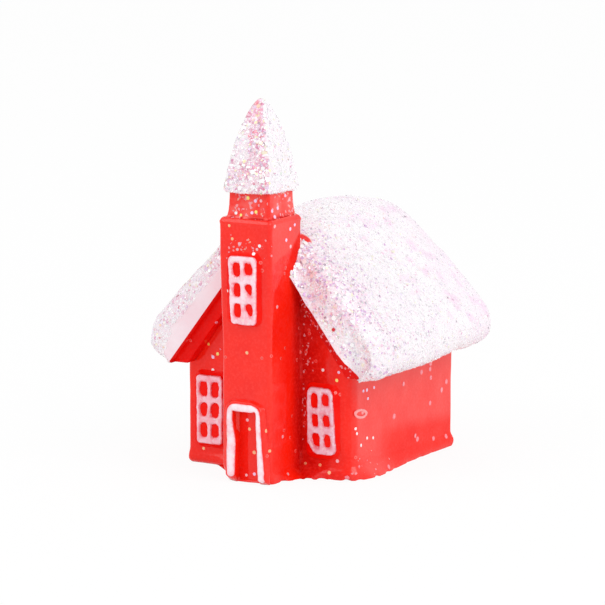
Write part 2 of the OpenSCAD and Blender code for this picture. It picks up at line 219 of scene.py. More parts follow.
def ringSkin(name, rows, lowPole=None, highPole=None, values=None):
    # a closed skin over rings: quads between neighbouring rings, and a fan to a pole at each end
    n, m = rows.shape[:2]
    i = np.arange(n - 1)[:, None] * m
    j = np.arange(m)[None, :]
    k = (j + 1) % m
    quads = np.stack([i + j, i + k, i + m + k, i + m + j], -1).reshape(-1, 4).tolist()
    low, high = n * m, n * m + 1
    fans = [[low, (c + 1) % m, c] for c in range(m)]
    fans += [[high, (n - 1) * m + c, (n - 1) * m + (c + 1) % m] for c in range(m)]
    ends = [rows[0].mean(0) if lowPole is None else lowPole, rows[-1].mean(0) if highPole is None else highPole]
    points = np.concatenate([rows.reshape(-1, 3), np.array(ends)])
    spread = {key: np.concatenate([data.reshape(n * m), data[0, :1], data[-1, :1]])
              for key, data in (values or {}).items()}
    return addMesh(name, points, turnOutwards(points, quads + fans), spread)


def snowRoughness(rows, shape, sunk):
    # hills with bumps and grit on them; sunk draws the hills in, so that they stay inside the solid's outline
    return (shape["hills"] * (lumps(rows, shape["hillSize"], shape["seed"]) - sunk)
            + shape["bumps"] * lumps(rows, shape["bumpSize"], shape["seed"] + 1)
            + shape["grit"] * lumps(rows, shape["gritSize"], shape["seed"] + 2))


def weld(piece, gap):
    # joins points that lie within gap mm of each other
    work = bmesh.new()
    work.from_mesh(piece.data)
    bmesh.ops.remove_doubles(work, verts=work.verts, dist=gap * mm)
    work.to_mesh(piece.data)
    work.free()
    piece.data.update()


def dress(piece, material, slotName, *nodes):
    # gives a piece its material and body, and hides the nodes that it stands for; slotName is not used
    piece.data.materials.clear()
    piece.data.materials.append(material)
    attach(piece, "root")
    if nodes:
        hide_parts(*nodes)
    return piece


# Materials

def addNode(tree, kind, values=None, **settings):
    node = tree.nodes.new(kind)
    for key, value in settings.items():
        setattr(node, key, value)
    for key, value in (values or {}).items():
        if isinstance(value, bpy.types.NodeSocket):
            tree.links.new(value, node.inputs[key])
        else:
            node.inputs[key].default_value = value
    return node


def mixColour(tree, share, a, b, blend="MIX"):
    # b over a by share, each a colour or a socket
    return addNode(tree, "ShaderNodeMix", {0: share, 6: a, 7: b}, data_type="RGBA", blend_type=blend).outputs[2]


def ramp(tree, value, low, high, toLow=0.0, toHigh=1.0):
    values = {"Value": value, "From Min": low, "From Max": high, "To Min": toLow, "To Max": toHigh}
    return addNode(tree, "ShaderNodeMapRange", values).outputs["Result"]


def math(tree, operation, a, b=0.0):
    return addNode(tree, "ShaderNodeMath", {0: a, 1: b}, operation=operation).outputs[0]


def times(tree, a, b):
    return math(tree, "MULTIPLY", a, b)


def newGroup(name, inputs, outputs):
    tree = bpy.data.node_groups.new(name, "ShaderNodeTree")
    for label, value in inputs:
        tree.interface.new_socket(label, in_out="INPUT", socket_type="NodeSocketFloat").default_value = value
    for label, kind in outputs:
        tree.interface.new_socket(label, in_out="OUTPUT", socket_type="NodeSocket" + kind)
    return tree, tree.nodes.new("NodeGroupInput").outputs, tree.nodes.new("NodeGroupOutput").inputs


def makeCastingGrain():
    # slow waves, fine pitting and blotches of a hand-dipped casting
    tree, given, out = newGroup("castingGrain", [("Waves", 300.0), ("Pits", 2600.0), ("Shine Low", 0.14),
                                                 ("Shine High", 0.4)],
                                [("Blotch", "Float"), ("Roughness", "Float"), ("Height", "Float")])
    place = addNode(tree, "ShaderNodeTexCoord").outputs["Object"]
    waves, pits = (addNode(tree, "ShaderNodeTexNoise", {"Vector": place, "Scale": given[label], "Detail": detail})
                   .outputs["Fac"] for label, detail in (("Waves", 3.0), ("Pits", 2.0)))
    tree.links.new(ramp(tree, waves, 0.35, 0.68), out["Blotch"])
    tree.links.new(ramp(tree, waves, 0.3, 0.7, given["Shine Low"], given["Shine High"]), out["Roughness"])
    tree.links.new(math(tree, "ADD", waves, times(tree, pits, 0.25)), out["Height"])
    return tree


def makeGlitterDust():
    # cells of fine glitter: each one takes a tint, and a share of them stands out
    tree, given, out = newGroup("glitterDust", [("Grains", 3400.0), ("Share", 0.3)],
                                [("Tint", "Color"), ("Mask", "Float"), ("Height", "Float")])
    place = addNode(tree, "ShaderNodeTexCoord").outputs["Object"]
    cells = addNode(tree, "ShaderNodeTexVoronoi", {"Vector": place, "Scale": given["Grains"]})
    pick = addNode(tree, "ShaderNodeSeparateColor", {"Color": cells.outputs["Color"]}).outputs
    tints = addNode(tree, "ShaderNodeValToRGB", {"Fac": pick["Red"]})
    stops = [(0.0, (0.93, 0.66, 0.80, 1)), (0.3, (0.80, 0.66, 0.88, 1)), (0.5, (0.66, 0.60, 0.68, 1)),
             (0.66, (0.95, 0.76, 0.86, 1)), (0.84, (0.86, 0.84, 0.56, 1)), (0.92, (0.85, 0.26, 0.48, 1))]
    bar = tints.color_ramp
    bar.interpolation = "CONSTANT"
    while len(bar.elements) < len(stops):
        bar.elements.new(1.0)
    for element, (at, colour) in zip(bar.elements, stops):
        element.position = at
        element.color = colour
    tree.links.new(tints.outputs["Color"], out["Tint"])
    tree.links.new(math(tree, "LESS_THAN", pick["Green"], given["Share"]), out["Mask"])
    tree.links.new(math(tree, "SUBTRACT", 1.0, cells.outputs["Distance"]), out["Height"])
    return tree


castingGrain = makeCastingGrain()
glitterDust = makeGlitterDust()


def useGroup(tree, group, **values):
    # an underscore in a key stands for the space in the socket's name
    named = {key.replace("_", " "): value for key, value in values.items()}
    return addNode(tree, "ShaderNodeGroup", named, node_tree=group).outputs


def newMaterial(name, specular=0.5, coat=0.0, coatRoughness=0.1, metallic=0.0):
    material = bpy.data.materials.new(name)
    material.use_nodes = True
    tree = material.node_tree
    skin = tree.nodes["Principled BSDF"]
    skin.inputs["Specular IOR Level"].default_value = specular
    skin.inputs["Coat Weight"].default_value = coat
    skin.inputs["Coat Roughness"].default_value = coatRoughness
    skin.inputs["Metallic"].default_value = metallic
    return material, tree, skin


def setBump(tree, skin, height, depth):
    # depth in mm
    bump = addNode(tree, "ShaderNodeBump", {"Height": height, "Distance": depth * mm})
    tree.links.new(bump.outputs["Normal"], skin.inputs["Normal"])


def attribute(tree, name, output="Fac"):
    return addNode(tree, "ShaderNodeAttribute", attribute_name=name).outputs[output]


glazeColours = dict(poolAndShade=(0.55, 0.001, 0.001, 1), thin=(0.97, 0.045, 0.035, 1), haze=(0.93, 0.115, 0.10, 1),
                    grain=(0.93, 0.26, 0.24, 1))


def makeRedGlaze(name, bright, deep, gloss):
    # Dipped red: bright where it is thin on the waves, deeper in the blotches, with a clear coat. Attributes: pool is
    # thick dark glaze and painted shade in creases and corners, dull takes the coat off, dust is a pink haze of the
    # finest glitter and in places a painted sheen, and fleck its larger grains.
    material, tree, skin = newMaterial(name, specular=0.05, coatRoughness=0.1)
    grain = useGroup(tree, castingGrain, Waves=330.0, Pits=2400.0, Shine_Low=0.25, Shine_High=0.5)
    film = useGroup(tree, castingGrain, Waves=1300.0)["Blotch"]
    mottle = useGroup(tree, castingGrain, Waves=3800.0)["Blotch"]
    specks = useGroup(tree, glitterDust, Grains=4600.0, Share=times(tree, attribute(tree, "fleck"), 0.3))
    red = mixColour(tree, grain["Blotch"], bright, deep)
    # painted shade: pool turns the red towards thick dark glaze in creases and corners
    red = mixColour(tree, attribute(tree, "poolAndShade"), red, glazeColours["poolAndShade"])
    thin = ramp(tree, mottle, 0.3, 1.0, 0.0, 0.1 + 0.3 * gloss)  # painted sheen: the lighter red of the fine waves is stronger on a glossier glaze
    red = mixColour(tree, thin, red, glazeColours["thin"])
    haze = times(tree, attribute(tree, "dustAndSheen"), ramp(tree, film, 0.0, 1.0, 0.55, 1.0))
    hazy = mixColour(tree, haze, red, glazeColours["haze"])
    pink = mixColour(tree, 0.45, glazeColours["grain"], specks["Tint"])
    cover = times(tree, specks["Mask"], 0.6)
    tree.links.new(mixColour(tree, cover, hazy, pink), skin.inputs["Base Color"])
    tree.links.new(grain["Roughness"], skin.inputs["Roughness"])
    shine = times(tree, math(tree, "SUBTRACT", 1.0, attribute(tree, "dull")), gloss)
    tree.links.new(shine, skin.inputs["Coat Weight"])
    relief = math(tree, "ADD", grain["Height"], times(tree, mottle, 0.12))
    setBump(tree, skin, math(tree, "ADD", relief, times(tree, specks["Mask"], 0.4)), 0.05)
    return material


snowColours = dict(white=(0.94, 0.93, 0.94, 1), shade=(0.92, 0.88, 0.915, 1), mist=(0.90, 0.72, 0.86, 1),
                   rosyAndShade=(0.86, 0.42, 0.54, 1), gap=(0.70, 0.36, 0.48, 1), front=(0.92, 0.80, 0.85, 1),
                   frontShade=(0.90, 0.72, 0.78, 1), bare=(0.86, 0.005, 0.002, 1))


def makeSnowGlaze(name):
    # White glaze under glitter. The attribute bare shows the red casting, plain is the smooth front of the snow, mist
    # turns the white lilac, and rosy turns it and its dust pink. rosy is pink glitter and painted light at once: the
    # snow stays white where the light falls full on it and turns pink on the faces turned to the front.
    material, tree, skin = newMaterial(name, specular=0.2)
    grain = useGroup(tree, castingGrain, Waves=420.0, Pits=3000.0, Shine_Low=0.3, Shine_High=0.55)
    fine = useGroup(tree, glitterDust, Grains=4200.0, Share=0.38)
    coarse = useGroup(tree, glitterDust, Grains=1900.0, Share=0.10)
    rosyAndShade = attribute(tree, "rosyAndShade")
    sparkling = math(tree, "SUBTRACT", 1.0, attribute(tree, "plain"))
    white = mixColour(tree, grain["Blotch"], snowColours["white"], snowColours["shade"])
    misted = mixColour(tree, attribute(tree, "mist"), white, snowColours["mist"])
    # painted light: the rosy share turns the white pink, most on faces turned to the front
    base = mixColour(tree, rosyAndShade, misted, snowColours["rosyAndShade"])
    # painted shade: the web between the glitter grains darkens towards the gap colour, most where the snow is rosy and
    # not on its plain front
    gapShade = ramp(tree, fine["Height"], 0.62, 0.36, 0.0, 0.55)
    gapShadeShare = times(tree, gapShade, ramp(tree, rosyAndShade, 0.0, 0.6, 0.1, 1.0))
    base = mixColour(tree, times(tree, gapShadeShare, sparkling), base, snowColours["gap"])
    strength = times(tree, sparkling, ramp(tree, rosyAndShade, 0.0, 0.6, 0.12, 0.75))
    fineMask = times(tree, fine["Mask"], strength)
    coarseMask = times(tree, coarse["Mask"], strength)
    flecked = mixColour(tree, coarseMask, mixColour(tree, fineMask, base, fine["Tint"]), coarse["Tint"])
    smoothFront = mixColour(tree, grain["Blotch"], snowColours["front"], snowColours["frontShade"])
    plain = mixColour(tree, attribute(tree, "plain"), flecked, smoothFront)
    tree.links.new(mixColour(tree, attribute(tree, "bare"), plain, snowColours["bare"]), skin.inputs["Base Color"])
    tree.links.new(grain["Roughness"], skin.inputs["Roughness"])
    grit = times(tree, fine["Height"], sparkling)
    setBump(tree, skin, math(tree, "ADD", grit, grain["Height"]), 0.065)
    return material


def makeTrimPaint(name, thickColour, thinColour):
    # brushed white: where the paint thins out at its edges, the red shows through
    material, tree, skin = newMaterial(name)
    grain = useGroup(tree, castingGrain, Waves=1100.0, Pits=3600.0, Shine_Low=0.2, Shine_High=0.4)
    patchy = times(tree, grain["Blotch"], -0.5)
    cover = ramp(tree, math(tree, "ADD", attribute(tree, "cover"), patchy), -0.05, 0.75)
    paint = mixColour(tree, cover, thinColour, thickColour)
    specks = useGroup(tree, glitterDust, Grains=4000.0, Share=0.3)
    shiny = times(tree, specks["Mask"], 0.35)
    tree.links.new(mixColour(tree, shiny, paint, mixColour(tree, 0.5, specks["Tint"], (1, 1, 1, 1))),
                   skin.inputs["Base Color"])
    tree.links.new(grain["Roughness"], skin.inputs["Roughness"])
    setBump(tree, skin, math(tree, "ADD", grain["Height"], times(tree, shiny, 0.6)), 0.06)
    return material


def makeFlakeFilm(name):
    # foil flakes: each has its own tint and a thin clear film over it
    material, tree, skin = newMaterial(name, specular=0.6, coat=0.5, coatRoughness=0.08, metallic=0.25)
    grain = useGroup(tree, castingGrain, Waves=1500.0, Pits=6000.0, Shine_Low=0.16, Shine_High=0.3)
    tint = attribute(tree, "tint", "Color")
    shaded = mixColour(tree, times(tree, grain["Blotch"], 0.2), tint, (0.78, 0.70, 0.78, 1), "MULTIPLY")
    tree.links.new(shaded, skin.inputs["Base Color"])
    tree.links.new(grain["Roughness"], skin.inputs["Roughness"])
    return material


redGlaze = makeRedGlaze("redGlaze", (0.94, 0.013, 0.002, 1), (0.89, 0.008, 0.001, 1), 0.82)
deckGlaze = makeRedGlaze("deckGlaze", (0.88, 0.004, 0.001, 1), (0.78, 0.002, 0.001, 1), 0.12)
doorGlaze = makeRedGlaze("doorGlaze", (0.93, 0.012, 0.004, 1), (0.87, 0.007, 0.002, 1), 0.66)
blockGlaze = makeRedGlaze("blockGlaze", (0.94, 0.007, 0.001, 1), (0.88, 0.003, 0.001, 1), 0.12)
snowGlaze = makeSnowGlaze("snowGlaze")
doorPaint = makeTrimPaint("doorPaint", (0.97, 0.83, 0.89, 1), (0.93, 0.33, 0.39, 1))
towerPaint = makeTrimPaint("towerPaint", (0.96, 0.72, 0.80, 1), (0.92, 0.26, 0.32, 1))
# painted shade: the right window's trim is a darker, greyer copy of the white, as it lies in the shaded corner beside
# the tower
rightShadedPaint = makeTrimPaint("rightShadedPaint", (0.84, 0.62, 0.74, 1), (0.80, 0.22, 0.28, 1))
leftPaint = makeTrimPaint("leftPaint", (0.95, 0.60, 0.70, 1), (0.92, 0.26, 0.32, 1))
flakeFilm = makeFlakeFilm("flakeFilm")
print("materials: done")

# Walls

wallLow, wallHigh = nodeBox("house_body")
towerLow, towerHigh = nodeBox("tower_shaft")
# A run of glaze on the ground: how far it reaches out, its middle and its width. creaseX is the dark corner between the
# tower and the right wall, and patchY and patchTop are the top of the matt patch low on the right side.
walls = dict(bulge=0.25, footHeight=1.6, cornerR=0.5, frontR=1.3, eaves=11.0, pitch=52.7, step=0.26, wave=0.03,
             waveSize=3.4, ripple=0.012, rippleSize=1.1, chip=0.17, chipSize=0.62, leftOut=0.2, backOut=0.3,
             rightRun=(1.5, 5.0, 2.0), leftRun=(2.4, -2.75, 2.2), sideRun=(1.15, -8.5, 7.5), runHeight=1.5,
             sideRunHeight=2.8, creaseX=4.4, patchY=(-4, 6, 11), patchTop=(4.6, 4.0, 3.5), soleShare=0.96, seed=3)
gableTop = wallHigh[2]
roofSlope = np.tan(np.radians(walls["pitch"]))
frontY = wallLow[1] + walls["bulge"]
sideX = wallHigh[0] - walls["bulge"]


def castingWave(points, shape):
    # uneven skin of a hand-made casting: slow waves with a finer ripple on them
    return (shape["wave"] * lumps(points, shape["waveSize"], shape["seed"])
            + shape["ripple"] * lumps(points, shape["rippleSize"], shape["seed"] + 1))


def footBulge(z, shape):
    # 0.4 of the bulge on the ground, all of it at 0.4 of its height, and none at its top
    t = z / shape["footHeight"]
    rise = 1 - 0.6 * (np.clip(0.4 - t, 0, 1) / 0.4) ** 2
    fall = np.cos(np.clip((t - 0.4) / 0.6, 0, 1) * np.pi / 2) ** 2
    return shape["bulge"] * np.where(t < 0.4, rise, fall)


def chipEdge(rows, shape):
    # scallops along the right part of the foot: points near the ground move in and up by a short random wave, which
    # dies away towards the back. The left part of the foot is rounded off instead.
    wave = smooth(0.5 + 0.5 * lumps(rows * [1, 1, 0], shape["chipSize"], shape["seed"] + 2), 0.25, 0.85)
    wave *= smooth(rows[..., 0], 0.5, 4) * (1 - 0.75 * smooth(rows[..., 1], -9, -2))
    near = np.exp(-rows[..., 2] / 0.3) * shape["chip"] * wave
    left = 1 - smooth(rows[..., 0], -3.5, -2.2)
    rows = rows - levelWay(rows) * (0.28 * left * np.clip(1 - rows[..., 2] / 0.45, 0, 1) ** 2)[..., None]
    rows = rows - levelWay(rows) * near[..., None]
    rows[..., 2] += near * 0.9
    return rows


def apronShare(z, height):
    # a glaze run that is full on the ground and thins out by a power law up to its height
    return np.clip(1 - z / height, 0, 1) ** 2.2


def glazeRun(x, run):
    # how far a run of glaze reaches out at x
    reach, middle, width = run
    return reach * hump(x, middle, width)


def makeWalls():
    # z rises from the ground to the eaves, and on the gables on to the deck's under side, top(x) = peak - slope |x|.
    # The glaze has run out on the ground on both sides of the tower and along the front half of the right side. dull,
    # pool, haze and fleck paint the skin, as the red glaze's note tells; pool is painted shade in the corner beside the
    # tower, and a little of the haze is a painted sheen on the right front corner.
    low = np.array([0.0, 0.03, 0.08, 0.15, 0.25, 0.4, 0.6, 0.8, 1.05, 1.3, 1.55, 1.8, 2.1])
    share = np.linspace(0, 1, 80)[1:]
    count = len(low) + len(share)
    level = np.concatenate([low, np.full(len(share), low[-1])])
    grow = footBulge(level, walls)
    depth = -frontY
    sides = [int(2 * sideX / walls["step"]), int(2 * depth / walls["step"])]
    x, y = roundRing(-sideX - walls["leftOut"] - grow * 0.1, sideX + grow, -depth - grow,
                     depth + walls["backOut"] + grow,
                     [np.full(count, walls["cornerR"])] * 3 + [np.full(count, walls["frontR"])], sides, 8)
    top = np.maximum(walls["eaves"], gableTop - roofSlope * np.abs(x))
    lift = np.concatenate([np.zeros(len(low)), share])[:, None]
    z = level[:, None] + lift * (top - low[-1])
    front = y < frontY + 0.4
    beside = np.where(x > 0, glazeRun(x, walls["rightRun"]), glazeRun(x, walls["leftRun"]))
    along = glazeRun(y, walls["sideRun"]) * smooth(y, -11.5, -8.5) * smooth(x, sideX - 0.5, sideX - 0.1)
    rows = np.stack([x + along * apronShare(z, walls["sideRunHeight"]),
                     y - beside * front * apronShare(z, walls["runHeight"]), z], -1)
    rows = swell(rows, castingWave(rows, walls) * smooth(z, 0.2, 1.0))
    rows = chipEdge(rows, walls)
    side = smooth(x, sideX - 0.4, sideX - 0.1)
    patchTop = np.interp(y, walls["patchY"], walls["patchTop"])
    dull = 0.62 * side * smooth(y, -6.5, -2.0) * (1 - smooth(z, patchTop - 1.2, patchTop + 0.7))
    dull = dull + 0.3 * front * hump(x, walls["creaseX"], 2.4)
    dull = dull + front * (0.5 * smooth(x, 6.4, 7.8) + 0.4 * smooth(-x, 3.0, 4.0)) * (1 - side)
    reach = 2.7 + 0.9 * (1 - smooth(z, 2.0, 4.0))
    # painted shade: dark glaze on the front wall right of the tower, round the corner with it, reaching wider low down
    poolAndShade = 0.86 * front * (x > 0) * hump(x, walls["creaseX"], reach) * (0.8 + 0.2 * smooth(z, 6, 12))
    haze = (0.13 * np.exp(-(((x + 5.2) / 2.2) ** 2 + ((z - 12.0) / 3.5) ** 2)) * front
            + 0.2 * np.exp(-(((y + 8.5) / 3.0) ** 2 + ((z - 0.8) / 1.2) ** 2)) * side)
    fleck = haze * 0.9 + 0.45 * hump(x, walls["creaseX"], 0.8) * smooth(z, 3, 8) * front * (x > 0)
    # painted sheen: a pale haze on the round front corner of the right side, easing the front into the reflection on
    # the side
    haze = haze + 0.07 * smooth(x, sideX - 1.7, sideX - 0.4) * smooth(-y, 7.5, 9.5) * smooth(z, 1.5, 4)
    rows, values = addSole(rows, (0, 0), walls["soleShare"], {"dull": dull, "poolAndShade": poolAndShade, "dustAndSheen": haze, "fleck": fleck})
    return ringSkin("houseBody", rows, np.array([0, 0, soleZ]), np.array([0, 0, gableTop - 0.05]), values)


wallPiece = dress(makeWalls(), redGlaze, "red_glaze", "house_body")
print("walls: done")

# Roof deck

deckLow, deckHigh = nodeBox("roof_deck")
deck = dict(ridgeFlat=2.6, ledge=9.34, edgeR=0.1, steps=150, setBack=1.15, wave=0.03, waveSize=2.6, ripple=0.012,
            rippleSize=0.9, seed=11)


def deckPaths(g):
    # g runs from -1 at the left eave to 1 at the right one: the inner path follows the gables' top, and the outer one
    # climbs to the edge of the ridge's flat and crosses it
    half, flat = deckHigh[0], deck["ridgeFlat"] / 2
    outX = np.abs(g) * half
    outZ = np.interp(outX, [0, flat, half], [deckHigh[2], deckHigh[2], walls["eaves"]])
    inX = np.abs(g) * deck["ledge"]
    inZ = gableTop - roofSlope * inX
    return np.stack([np.sign(g) * outX, outZ], -1), np.stack([np.sign(g) * inX, inZ], -1)


def makeDeck():
    # a round-cornered section across the slab's thickness and length, carried from eave to eave over the ridge; on
    # the right of the tower its front end stands back
    g = np.linspace(-1, 1, deck["steps"])
    outer, inner = deckPaths(g)
    a, y = roundRing(0, 1, deckLow[1], deckHigh[1], [np.array([deck["edgeR"]])] * 4, [6, 90], 4)
    a, y = a[0], y[0]
    rows = np.empty((len(g), len(a), 3))
    for k, axis in ((0, 0), (1, 2)):
        rows[..., axis] = inner[:, None, k] + (outer - inner)[:, None, k] * a[None, :]
    rows[..., 1] = y[None, :]
    nearFront = 1 - smooth(rows[..., 1], deckLow[1] + 0.4, deckLow[1] + 5)
    rows[..., 1] += deck["setBack"] * smooth(rows[..., 0], 1.6, 2.6) * nearFront
    rows = swell(rows, castingWave(rows, deck))
    first, last = rows[:1].copy(), rows[-1:].copy()
    for cap in (first, last):
        middle = cap.mean(axis=1, keepdims=True)
        cap[:] = middle + (cap - middle) * [0.9, 0.99, 1]
        cap[..., 2] = walls["eaves"]
    rows = np.concatenate([first, rows, last])
    # painted shade: dark glaze on the deck's front right of the tower, under the snow, fading towards the right eave
    near = smooth(rows[..., 0], 1, 3) * (1 - smooth(rows[..., 1], -10.9, -10.4))
    poolAndShade = near * (0.85 - 0.6 * smooth(rows[..., 0], 6.5, 9.5))
    return ringSkin("roofDeck", rows, None, None,
                    {"poolAndShade": poolAndShade, "dull": near, "dustAndSheen": 0.08 * near, "fleck": 0.4 * near})


deckPiece = dress(makeDeck(), deckGlaze, "deep_red_glaze", "roof_deck")
print("deck: done")

# Tower, belfry

# hazeZ and hazeY are the edge of the matt part high on the tower's right side
tower = dict(cornerR=0.4, shoulder=0.44, drop=0.2, footR=1.9, footRHeight=1.6, toe=0.35, toeIn=0.15, fillet=0.25,
             lean=0.36, rim=0.06, rollIn=0.34, backR=0.12, step=0.15, wave=0.025, waveSize=3.0, ripple=0.012,
             rippleSize=0.9, chip=0.14, chipSize=0.6, apron=1.3, hazeZ=(20.1, 21.0, 22.7, 24.8, 26.6),
             hazeY=(-16.5, -15.5, -13.8, -12.4, -10.4), soleShare=0.92, seed=21)
belfry = dict(width=4.8, depth=5.0, flare=0.2, flareHeight=2.4, cornerR=0.25, sink=0.1, wave=0.04, waveSize=1.6,
              ripple=0.03, rippleSize=0.5, seed=31)
door = dict(left=-1.15, width=3.97, splay=0.42, outside=0.3, top=8.4, foot=0.6, leftJamb=0.9, rightJamb=0.6, head=0.8,
            cornerR=0.7, margin=0.25, pocket=0.6, leaf=0.2)
towerX = (towerLow[0] + towerHigh[0]) / 2
towerFront = towerLow[1]
towerMidY = (towerFront + frontY) / 2
towerTop = towerHigh[2] - tower["drop"]


def doorSide(z, right):
    # x of the doorway's or surround's right edge at height z: it spreads evenly towards the foot
    depth = door["top"] - door["cornerR"] - z
    return right + door["splay"] * depth / (door["top"] - door["cornerR"] - door["foot"])


def doorwayMask(x, z, soft):
    # 1 inside the doorway, 0 outside, with a soft edge, and fading out at the ground
    left = door["left"] + door["leftJamb"]
    right = doorSide(z, door["left"] + door["width"] - door["rightJamb"])
    head = door["top"] - door["head"]
    return (smooth(x, left - soft, left) * smooth(-x, -right - soft, -right) * smooth(-z, -head - soft, -head)
            * (0.2 + 0.8 * smooth(z, 0, 0.5)))


def footCornerR(z):
    # the left front corner of the tower opens out to a wide round at the ground
    return tower["cornerR"] + (tower["footR"] - tower["cornerR"]) * np.clip(1 - z / tower["footRHeight"], 0, 1) ** 1.3


def toeInset(z):
    # the tower's front draws in by a square law just above the ground
    return tower["toeIn"] * np.clip(1 - z / tower["toe"], 0, 1) ** 2


def frontSag(x, z):
    # how far the tower's front lies behind its plane where that corner opens out, and at its rounded toe
    r = footCornerR(z)
    over = np.clip(towerLow[0] + r - x, 0, r * 0.98)
    return r - np.sqrt(r * r - over * over) + toeInset(z)


def makeTower():
    # upright rings with round corners: the left front corner opens out at the foot, the top rolls over to the
    # belfry, a fillet joins the sides to the wall and an apron runs out on the ground beside it
    foot = np.array([0.0, 0.03, 0.08, 0.15, 0.25, 0.4])
    shaft = np.arange(0.5, towerTop - tower["shoulder"], tower["step"])
    roll = np.linspace(0, np.pi / 2, 9)
    z = np.concatenate([foot, shaft, towerTop - tower["shoulder"] * (1 - np.sin(roll))])
    inset = np.concatenate([np.zeros(len(foot) + len(shaft)), tower["rollIn"] * (1 - np.cos(roll))])
    inset -= tower["rim"] * hump(z - towerTop + 0.5, 0, 0.16)
    toe = toeInset(z)
    rightR = tower["cornerR"] + 0.35 * (footCornerR(z) - tower["cornerR"])
    sharp = np.full(len(z), tower["backR"])
    back = frontY + 0.9 * (1 - smooth(z, 21, 23.5))
    lean = tower["lean"] * smooth(z, 12, 25.5)
    x, y = roundRing(towerLow[0] + inset - lean, towerHigh[0] - inset, towerFront + inset + toe, back - inset,
                     [sharp, sharp, footCornerR(z), rightR], [40, 42], 6)
    rows = stackUp(x, y, z)
    near = np.clip(1 - (frontY - y) / tower["fillet"], 0, 1)
    spread = tower["fillet"] * (1 - np.sqrt(np.clip(1 - near ** 2, 0, 1))) * (1 - smooth(rows[..., 2], 16, 18))
    run = np.where(x < towerX, 0.85 * np.clip(y + 15.6, 0, 6) ** 1.1, 0.55 * np.clip(y + 14.8, 0, 6))
    low = np.clip(1 - rows[..., 2] / tower["apron"], 0, 1) ** 2.5
    rows[..., 0] += np.sign(x - towerX) * (spread + run * low) * (np.abs(x - towerX) > 2)
    front = smooth(-y, -towerFront - 0.5, -towerFront - 0.16)
    rows = swell(rows, castingWave(rows, tower))
    rows[..., 1] += front * door["pocket"] * doorwayMask(rows[..., 0], rows[..., 2], 0.1)
    rows = chipEdge(rows, tower)
    right = smooth(rows[..., 0], towerHigh[0] - 0.35, towerHigh[0] - 0.1)
    hazeEdge = np.interp(rows[..., 2], tower["hazeZ"], tower["hazeY"])
    behind = smooth(rows[..., 1] - hazeEdge, -0.25, 0.35) * smooth(rows[..., 2], 17.0, 19.0)
    low = 1 - smooth(rows[..., 2], 11, 15)
    # painted shade: darker glaze on the back of the right side, in the corner against the wall
    poolAndShade = right * smooth(rows[..., 1], -13.4, -11.3) * (0.8 - 0.5 * smooth(rows[..., 2], 19, 21))
    # painted sheen: a pale haze low on the front half of the right side, where the coat is taken off
    dustAndSheen = 0.28 * right * low * (1 - smooth(rows[..., 1], -16.6, -13.6))
    fleck = 0.8 * np.exp(-(((rows[..., 2] - 24.6) / 0.9) ** 2 + ((rows[..., 0] - 1.2) / 1.8) ** 2)) * front
    dull = right * np.maximum(behind, 0.7 * low)
    rows, values = addSole(rows, (towerX, towerMidY), tower["soleShare"],
                           {"dull": dull, "poolAndShade": poolAndShade, "dustAndSheen": dustAndSheen, "fleck": fleck})
    return ringSkin("towerShaft", rows, np.array([towerX, towerMidY, soleZ]), None, values)


def makeBelfry():
    # upright rings whose width falls from the flared foot by a power law; glitter dust clings to them in patches
    z = np.linspace(towerTop - belfry["sink"], nodeBox("spire_snow")[0][2] + 0.8, 40)
    flare = belfry["flare"] * np.clip(1 - (z - towerTop) / belfry["flareHeight"], 0, 1) ** 1.4
    flare += 0.12 * np.exp(-np.clip(z - towerTop, 0, 9) / 0.12)
    x, y = roundRing(towerX - belfry["width"] / 2 - flare, towerX + belfry["width"] / 2 + flare,
                     towerMidY - belfry["depth"] / 2 - flare, towerMidY + belfry["depth"] / 2 + flare,
                     [np.full(len(z), belfry["cornerR"])] * 4, [36, 36], 6)
    rows = stackUp(x, y, z)
    rows = swell(rows, castingWave(rows, belfry))
    corner = (np.abs(rows[..., 0] - towerX - belfry["width"] / 2)
              + np.abs(rows[..., 1] - towerMidY + belfry["depth"] / 2))
    patch = smooth(lumps(rows, 0.9, belfry["seed"] + 5) + 0.5 * lumps(rows, 0.4, belfry["seed"] + 6), -0.4, 0.4)
    band = hump(corner, 0, 0.75)
    # painted shade: less of the pale haze on the right face and under the snow's hem, so that these read darker
    haze = (0.2 + 0.75 * patch) * (1 - 0.95 * band) * (1 - 0.45 * (rows[..., 0] > towerX + 2.2))
    haze = haze * (1 - 0.6 * smooth(rows[..., 2], towerTop + 1.7, towerTop + 2.5))
    # painted shade: dark glaze in the crease at the belfry's foot, which also takes the haze off there
    foot = np.exp(-np.clip(rows[..., 2] - towerTop - 0.06, 0, 9) / 0.16) * smooth(lumps(rows, 0.5, 38), -0.7, 0.1)
    fleck = (0.2 + 0.3 * patch) * (1 - band)
    return ringSkin("belfryStage", rows, None, None,
                    {"dustAndSheen": haze * (1 - foot), "fleck": fleck, "poolAndShade": foot, "dull": foot})


towerPiece = dress(makeTower(), redGlaze, "red_glaze", "tower_shaft")
belfryPiece = dress(makeBelfry(), redGlaze, "red_glaze", "belfry")
print("tower: done")

# Snow on the spire

spire = dict(bulgePower=1.25, bluntPower=0.65, tipShare=0.985, cornerR=0.5, hem=0.2, hemWave=0.07, hemIn=0.84,
             rows=130, hills=0.06, hillSize=1.7, hillsIn=0.3, bumps=0.05, bumpSize=0.7, grit=0.02, gritSize=0.33,
             tipBare=0.68, seed=41)
spireLow, spireHigh = nodeBox("spire_snow")


